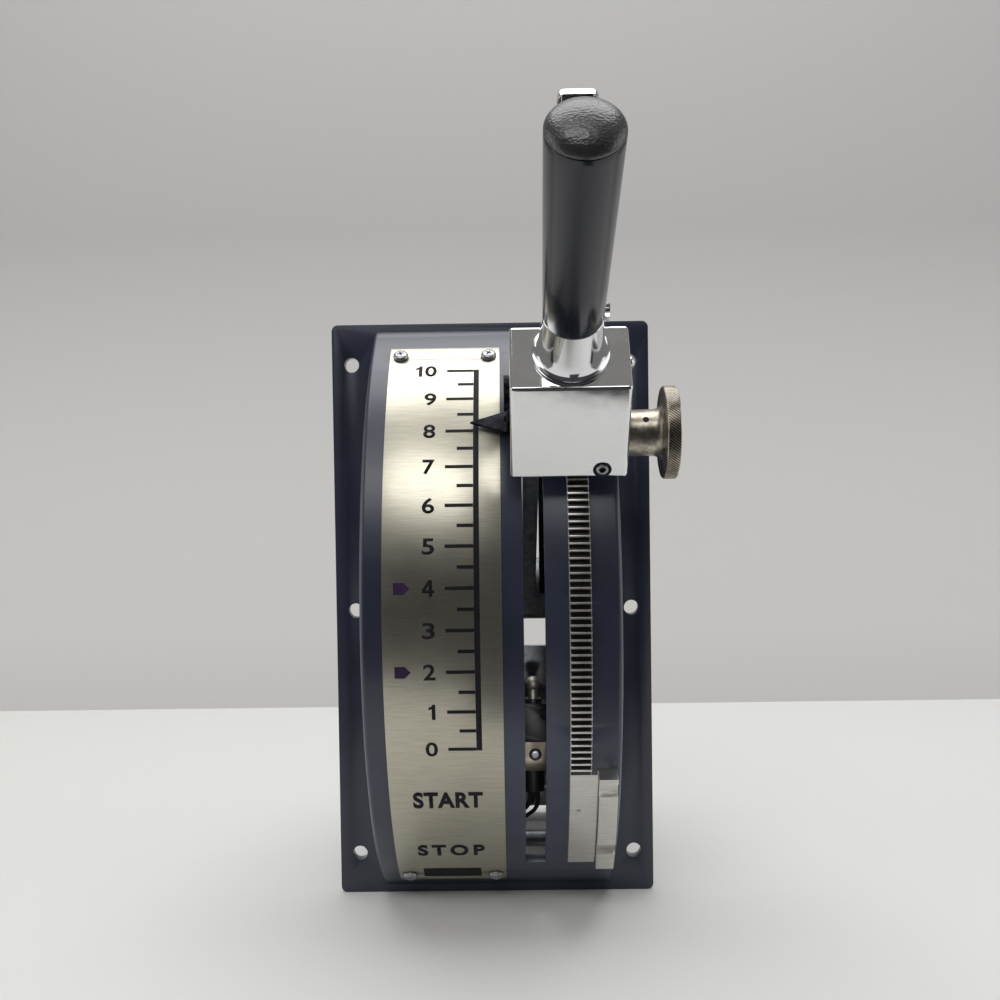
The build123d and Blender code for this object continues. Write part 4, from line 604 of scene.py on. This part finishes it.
def half_marks():
    """A long mark at each number and a short one between."""
    tick = plate_piece([(0, -MARK_HALF), (1, -MARK_HALF), (1, MARK_HALF), (0, MARK_HALF)], INK, None)
    marks = []
    for half in range(21):
        left = SHORT_MARK if half % 2 else LONG_MARK
        place = on_drum(left * MM, MARK_ZERO + MARK_STEP * half / 2, INK_R)
        marks.append(copied(tick, place @ Matrix.Diagonal((MARK_RIGHT - left, 1, 1, 1))))
    bpy.data.objects.remove(tick)
    return marks


def numerals():
    """0 to 10. The 1 and the 4 are drawn as plates, and the 9 is a 6 turned round."""
    foot, top = -DIGIT_HALF, DIGIT_HALF
    one = plate_piece([(1.75, foot), (3.3, foot), (3.3, top), (2.15, top), (1.7, 2.6), (0.4, 2.05), (0.4, 0.95),
                       (1.75, 1.4)], INK, None)
    # The 4's strokes differ in thickness by a hair, so that no two faces share a place.
    four = joined([
        plate_piece([(2.9, foot), (4.3, foot), (4.3, top), (2.9, top)], INK, None),
        plate_piece([(0, -1.9), (DIGIT_WIDTH, -1.9), (DIGIT_WIDTH, -0.75), (0, -0.75)], INK + 0.003, None),
        plate_piece([(0, -0.76), (1.5, -0.76), (4.2, top), (2.75, top)], INK + 0.006, None),
    ])
    prints = []
    for number in range(11):
        up = mark_angle(number)
        if number == 10:
            prints.append(copied(one, on_drum(-33.5 * MM, up, INK_R)))
            prints.append(digit("0", -28.9, up))
        elif number == 1:
            prints.append(copied(one, on_drum(-27.2 * MM, up, INK_R)))
        elif number == 4:
            prints.append(copied(four, on_drum(DIGIT_LEFT * MM, up, INK_R)))
        elif number == 9:
            prints.append(digit("6", DIGIT_LEFT, up, turned=True))
        else:
            prints.append(digit(str(number), DIGIT_LEFT, up))
    bpy.data.objects.remove(one)
    bpy.data.objects.remove(four)
    return prints


def scale_print():
    line = curved_bar(LINE_LEFT, LINE_RIGHT, LINE_LOW, LINE_HIGH)
    finish_piece(joined(half_marks() + [line] + numerals()), "scale_marks", "housing", PRINT_BLACK)
    start = words("START", WORD_WIDTH, 9.4, WORD_LEFT, -28.4, 0.04, spacing=1.08)
    stop = words("STOP", WORD_WIDTH, 9.0, WORD_LEFT, -40.9, 0.04, spacing=1.4)
    blank_bar = curved_bar(-33.9, -7.0, -50.6, -47.1)
    finish_piece(joined([start, stop, blank_bar]), "function_words", "housing", PRINT_BLACK)
    arrow = plate_piece([(-40.5, -2.45), (-36.2, -2.45), (-33.7, 0), (-36.2, 2.45), (-40.5, 2.45)], INK, None)
    arrows = [copied(arrow, on_drum(0, mark_angle(number), INK_R)) for number in (2, 4)]
    bpy.data.objects.remove(arrow)
    finish_piece(joined(arrows), "limit_markers", "housing", PRINT_PURPLE)


# ---------------------------------------------------------------- turned and pressed pieces
def scale_screws():
    """Four pan-head screws with a cross recess, modelled once."""
    head = turned_piece([(0, 0.02), (3.05, 0.02), (3.4, 0.15), (3.5, 0.45), (3.45, 0.9), (3.2, 1.4), (2.7, 1.8),
                         (1.9, 2.03), (1.0, 2.1), (0, 2.1)], None, 48)
    arm, half = 1.9, 0.42
    floor, floor_taper = 0.9, 0.55
    cross = [(-arm, -half), (-half, -half), (-half, -arm), (half, -arm), (half, -half), (arm, -half), (arm, half),
             (half, half), (half, arm), (-half, arm), (-half, half), (-arm, half)]
    cut = plate_piece(cross, 2.0, Matrix.Translation((0, 0, floor * MM)))
    choose(cut, lambda v: v.co.z < 1.5 * MM)
    bpy.ops.transform.resize(value=(floor_taper, floor_taper, 1), center_override=(0, 0, floor * MM))
    close_edit()
    recess = head.modifiers.new("recess", "BOOLEAN")
    recess.object = cut
    recess.operation = "DIFFERENCE"
    recess.solver = "EXACT"
    apply_modifiers(head)
    bpy.data.objects.remove(cut)
    bevel(head, 0.08 * MM, 40)
    smooth(head, 35)
    heads = []
    for x, up, turn in ((-40.5, 47.55, 18), (-0.3, 47.55, 61), (-40.5, -49.75, 38), (-0.3, -49.75, 7)):
        place = on_drum(x * MM, up, PLATE_R) @ Matrix.Rotation(math.radians(turn), 4, "Z")
        heads.append(copied(head, place))
    bpy.data.objects.remove(head)
    finish_piece(joined(heads), "scale_screw_heads", "housing", SCREW_STEEL, replaces=("scale_screws",))


def handle():
    """Ferrule, grip and end cap on the handle's rod; profiles run along the lever, in mm from its axis."""
    place = on_lever(HANDLE_X, 0)
    bore = 6.1
    ferrule_foot, grip_foot, grip_end = 211.0, 234.0, 322.0
    ferrule = turned_piece([
        (bore, grip_foot), (11.5, grip_foot), (11.7, 233.8), (11.9, 230), (12.4, 225), (13.0, 219.5), (13.5, 216.5),
        (14.2, 214.4), (14.8, 213.3), (15.2, 213.0), (15.45, 212.7), (15.5, 212.2), (15.5, 211.4), (15.35, 211.05),
        (15.0, ferrule_foot), (bore, ferrule_foot), (bore, grip_foot)], place, 128)
    smooth(ferrule, 28)
    finish_piece(ferrule, "ferrule_turned", "lever", CHROME, replaces=("ferrule",))
    widest = 13.2
    grip = turned_piece([
        (bore, grip_foot), (11.2, grip_foot), (11.55, 234.15), (11.7, 234.5), (12.1, 256), (12.5, 278), (12.9, 300),
        (widest, 319), (widest, 321.4), (13.05, 321.85), (12.7, grip_end), (bore, grip_end), (bore, grip_foot)], place)
    smooth(grip, 30)
    finish_piece(grip, "grip_moulding", "lever", GRIP_BLACK, replaces=("grip",))
    cap_foot, dome_foot, dome_height = 322.05, 322.5, 6.2
    dome = [(widest * math.cos(a), dome_foot + dome_height * math.sin(a)) for a in quarter(14)]
    cap = turned_piece(
        [(0, cap_foot), (12.3, cap_foot), (12.8, 322.1), (13.1, 322.25), (widest, dome_foot)] + dome, place)
    smooth(cap, 40)
    finish_piece(cap, "grip_end_cap", "lever", CAP_BLACK, replaces=("grip_cap",))


def knob():
    """Disc with a diamond knurl, a hub and a cove between them; turned about the row's X."""
    bore, hub, cove, rim = 4.05, 9.7, 4.0, 19.4
    row_step, row_count, columns = 0.75, 7, 204
    rows = [72.85 + row_step * row for row in range(row_count)]
    profile = [(bore, 57.7), (9.2, 57.7), (9.55, 57.8), (hub, 58.2), (hub, 66.5), (hub, 68.2)]
    profile += [(hub + cove - cove * math.cos(a), 68.2 + cove * math.sin(a)) for a in quarter(8)]
    profile += [(18.5, 72.2), (18.9, 72.3), (19.15, 72.6)]
    profile += [(rim, x) for x in rows]
    profile += [(19.15, 77.6), (18.9, 77.9), (18.5, 78.0), (15.0, 78.0), (14.6, 77.6), (bore, 77.6), (bore, 57.7)]
    obj = turned_piece(profile, None, columns)
    turn = 2 * math.pi / columns

    def hollow(vertex):
        """Every second point of the rim, one step on from row to row."""
        row = round((vertex.co.z / MM - rows[0]) / row_step)
        if math.hypot(vertex.co.x, vertex.co.y) < (rim - 0.1) * MM or not 0 <= row < row_count:
            return False
        return (round(math.atan2(vertex.co.y, vertex.co.x) / turn) + row) % 2 == 1

    choose(obj, hollow)
    sunk = 0.977
    bpy.ops.transform.resize(value=(sunk, sunk, 1), center_override=(0, 0, 0))
    close_edit()
    smooth(obj, 22)
    place = Matrix((ACROSS, LIFT, RIGHT)).transposed().to_4x4()
    place.translation = (0, KNOB_CENTRE.y, KNOB_CENTRE.z)
    settle(obj, place)
    finish_piece(obj, "knurled_knob", "knob", KNOB_METAL, replaces=("knob",))
    pin_x = 64.7
    mouth = Matrix((RIGHT, ACROSS, LIFT)).transposed().to_4x4()
    mouth.translation = KNOB_CENTRE + RIGHT * pin_x * MM + LIFT * hub * MM
    # No hole is cut in the hub: a thin black disc on it paints the pin hole's shade, with the pin's dark end in it.
    pin_hole_shade = turned_piece([(0, -0.5), (1.3, -0.5), (1.35, -0.1), (1.3, 0.03), (1.15, 0.05), (0, 0.02)], mouth, 32)
    finish_piece(pin_hole_shade, "knob_pin_mouth", "knob", BLACK_STEEL)


def set_screw():
    """Set screw of the knob shaft's bush, seen end on: a chamfered nickel end whose socket is painted dark as shade,
    in a black ring that paints the shade of its countersink.
    """
    slant = math.radians(19.92)          # of the block's front face to the lever
    out = LIFT * math.sin(slant) - ACROSS * math.cos(slant)
    up = LIFT * math.cos(slant) + ACROSS * math.sin(slant)
    place = Matrix((up.cross(out), up, out)).transposed().to_4x4()
    place.translation = on_lever(46.6, 173.2, -31.0).translation
    # Painted shade: a black ring round the screw stands for the shadow in its countersink.
    countersink_shade = turned_piece([(2.6, -0.6), (2.6, 0.0), (2.75, 0.12), (3.5, 0.14), (3.75, 0.1), (3.85, 0.02), (3.85, -0.6),
                        (2.6, -0.6)], place, 64)
    smooth(countersink_shade, 35)
    finish_piece(countersink_shade, "set_screw_cup", "lever", BLACK_STEEL)
    end = turned_piece([(1.35, -0.9), (1.35, 0.25), (1.5, 0.42), (2.1, 0.42), (2.45, 0.25), (2.58, 0.0), (2.58, -0.9),
                        (1.35, -0.9)], place, 48)
    smooth(end, 35)
    finish_piece(end, "set_screw_end", "lever", SCREW_STEEL, replaces=("bush_set_screw",))
    # Painted shade: a dark hex at the bottom of the socket.
    socket = turned_piece([(0, -0.85), (1.5, -0.85), (1.5, -0.6), (0.9, -0.62), (0, -0.75)], place, 6)
    finish_piece(socket, "set_screw_socket", "lever", BLACK_STEEL)


def squeeze_blade():
    """Pressed channel along the back of the grip, its far end closed and rounded, with the CAD's root kept."""
    width, depth, wall = 14.3, 4.6, 1.6
    corner, back_edge = 2.5, 1.5
    foot_u, foot_t = 210, 23.5           # where the back of the channel starts, along and across the lever
    end_u, end_t = 306, 38.5             # and a place near its end
    slope = math.atan2(end_t - foot_t, end_u - foot_u)
    length = (end_u + 1 - foot_u) / math.cos(slope)
    half = width / 2
    far_corner = [(half - corner + corner * math.cos(a), length - corner + corner * math.sin(a))
                  for a in [0.0] + quarter(8)]
    outline = [(-half, 0), (half, 0)] + far_corner + [(-x, y) for x, y in reversed(far_corner)]
    blade = plate_piece(outline, depth, Matrix.Rotation(math.radians(90), 4, "X"))
    low = min(v.co.y for v in blade.data.vertices)
    choose(blade, lambda f: abs(f.center.y - low) < 0.01 * MM, "polygons")
    bpy.ops.mesh.inset(thickness=wall * MM, depth=0)
    bpy.ops.transform.translate(value=(0, (depth - wall) * MM, 0))
    close_edit()
    high = max(v.co.y for v in blade.data.vertices)
    choose(blade, lambda v: v.co.y > high - 0.01 * MM)
    bpy.ops.mesh.bevel(offset=back_edge * MM, segments=5)
    face_outwards()
    tilt = Matrix.Rotation(-slope, 4, "X")
    settle(blade, on_lever(HANDLE_X, foot_u, foot_t) @ tilt @ Matrix.Translation((0, -high, 0)))
    bevel(blade, 0.2 * MM, 50)
    smooth(blade, 35)
    root = softened("trigger_lever", 0.25 * MM)
    root_end = 213.5
    edit(root, "FACE")
    bpy.ops.mesh.bisect(plane_co=AXIS + LIFT * root_end * MM, plane_no=LIFT, clear_outer=True, use_fill=True)
    close_edit()
    root.data.materials.clear()
    finish_piece(joined([blade, root]), "squeeze_lever", "trigger", TRIGGER_CHROME, replaces=("trigger_lever",))


# ---------------------------------------------------------------- camera, stage and lamps
def put_camera():
    data = bpy.data.cameras.new("camera")
    data.sensor_width = 36.0
    data.lens = 40.28
    camera = bpy.data.objects.new("camera", data)
    bpy.context.scene.collection.objects.link(camera)
    camera.location = (8.3 * MM, -538.6 * MM, 68.1 * MM)
    camera.rotation_euler = [math.radians(a) for a in (88.27, 0.80, 0.456)]
    bpy.context.scene.camera = camera


def sheet(place):
    """A flat square of one metre, at its place."""
    clear()
    bpy.ops.mesh.primitive_plane_add(size=1)
    return settle(bpy.context.object, place)


def put_stage():
    upright = Matrix.Rotation(math.radians(90), 4, "X")
    table = sheet(Matrix.Translation((0, -0.55, FLOOR_Z)) @ Matrix.Diagonal((3.2, 1.924, 1, 1)))
    table.name = "table"
    wall = sheet(Matrix.Translation((0, 0.75, 0.6)) @ upright @ Matrix.Diagonal((4, 3.2, 1, 1)))
    wall.name = "wall"
    # White laminate for the table; the wall is pale emulsion, painted darker towards the top as the shade where less
    # light reaches it.
    for stage, along, low, high, span, roughness in (
        (table, "X", "DEDEDA", "E2E2E2", (-1, 1), 0.55),
        (wall, "Z", "F2F1EF", "B4B3B3", (-0.12, 0.34), 0.8),
    ):
        material, tree, bsdf, place = new_material(stage.name + "_paint", Roughness=roughness)
        parts = add(tree, "ShaderNodeSeparateXYZ", Vector=place)
        fade = add(tree, "ShaderNodeMapRange", {"From Min": span[0], "From Max": span[1]}, Value=parts.outputs[along])
        colour = add(tree, "ShaderNodeValToRGB", {"stops": [(0.0, linear(low)), (1.0, linear(high))]},
                     Fac=fade.outputs[0])
        feed(bsdf, Base_Color=colour.outputs["Color"])
        stage.data.materials.append(material)
    # Dark cards that only glossy surfaces see: painted reflections of the unlit room in front of the table. The one at
    # the table's edge paints the dark band on the front of the lever block.
    just_above = FLOOR_Z + 4 * MM
    cards = {
        "dark_floor": sheet(Matrix.Translation((0, -0.885, just_above)) @ Matrix.Diagonal((3.0, 1.21, 1, 1))),
        "dark_edge": plate_piece([(12, -285), (125, -285), (125, -166), (12, -181)], 0.5,
                                 Matrix.Translation((0, 0, just_above))),
        "dark_room": sheet(Matrix.Translation((0, -1.5, 0.35)) @ upright @ Matrix.Diagonal((3.0, 1.0, 1, 1))),
    }
    for name, card in cards.items():
        card.name = name
        card.visible_camera = card.visible_diffuse = card.visible_shadow = False
        material, tree, bsdf, place = new_material(name + "_cloth", Roughness=0.9)
        mottle = add(tree, "ShaderNodeTexNoise", {"Scale": 6.0}, Vector=place)
        colour = add(tree, "ShaderNodeValToRGB", {"stops": [(0.3, linear("303033")), (0.7, linear("3B3B3F"))]},
                     Fac=mottle.outputs["Fac"])
        feed(bsdf, Base_Color=colour.outputs["Color"])
        card.data.materials.append(material)


def put_lamp(name, kind, place, target, power):
    """A lamp at its place, in metres, aimed at a target; its data is left to be shaped."""
    data = bpy.data.lights.new(name, kind)
    data.energy = power
    lamp = bpy.data.objects.new(name, data)
    bpy.context.scene.collection.objects.link(lamp)
    lamp.location = place
    lamp.rotation_euler = (Vector(target) - Vector(place)).to_track_quat("-Z", "Y").to_euler()
    return data


def put_lamps():
    world = bpy.data.worlds.new("room")
    bpy.context.scene.world = world
    world.use_nodes = True
    background = world.node_tree.nodes["Background"]
    background.inputs["Color"].default_value = linear("8C8B88")
    background.inputs["Strength"].default_value = 0.9
    bpy.context.scene.view_settings.view_transform = "Standard"
    slot_lamp = put_lamp("slot_lamp", "SPOT", (0.019, -0.62, -0.045), (0.0195, 0.06, -0.078), 5.0)
    slot_lamp.spot_size = math.radians(7)
    slot_lamp.spot_blend = 0.6
    slot_lamp.shadow_soft_size = 0.03
    for name, place, target, size, power in (
        ("ceiling", (0.0, 0.12, 1.35), (0, 0.12, 0), (1.5, 0.9), 15.0),
        ("left_card", (-1.2, -0.1, 0.25), (0, 0, 0), (0.7, 1.0), 3.0),
        ("right_card", (1.2, -0.1, 0.25), (0, 0, 0), (0.9, 1.0), 3.0),
        ("table_wash", (-0.3, -1.3, 1.3), (0, -0.3, -0.13), (1.2, 0.6), 8.0),
    ):
        lamp = put_lamp(name, "AREA", place, target, power)
        lamp.shape = "RECTANGLE"
        lamp.size, lamp.size_y = size


eased_pieces()
scale_print()
scale_screws()
handle()
knob()
set_screw()
squeeze_blade()
put_camera()
put_stage()
put_lamps()
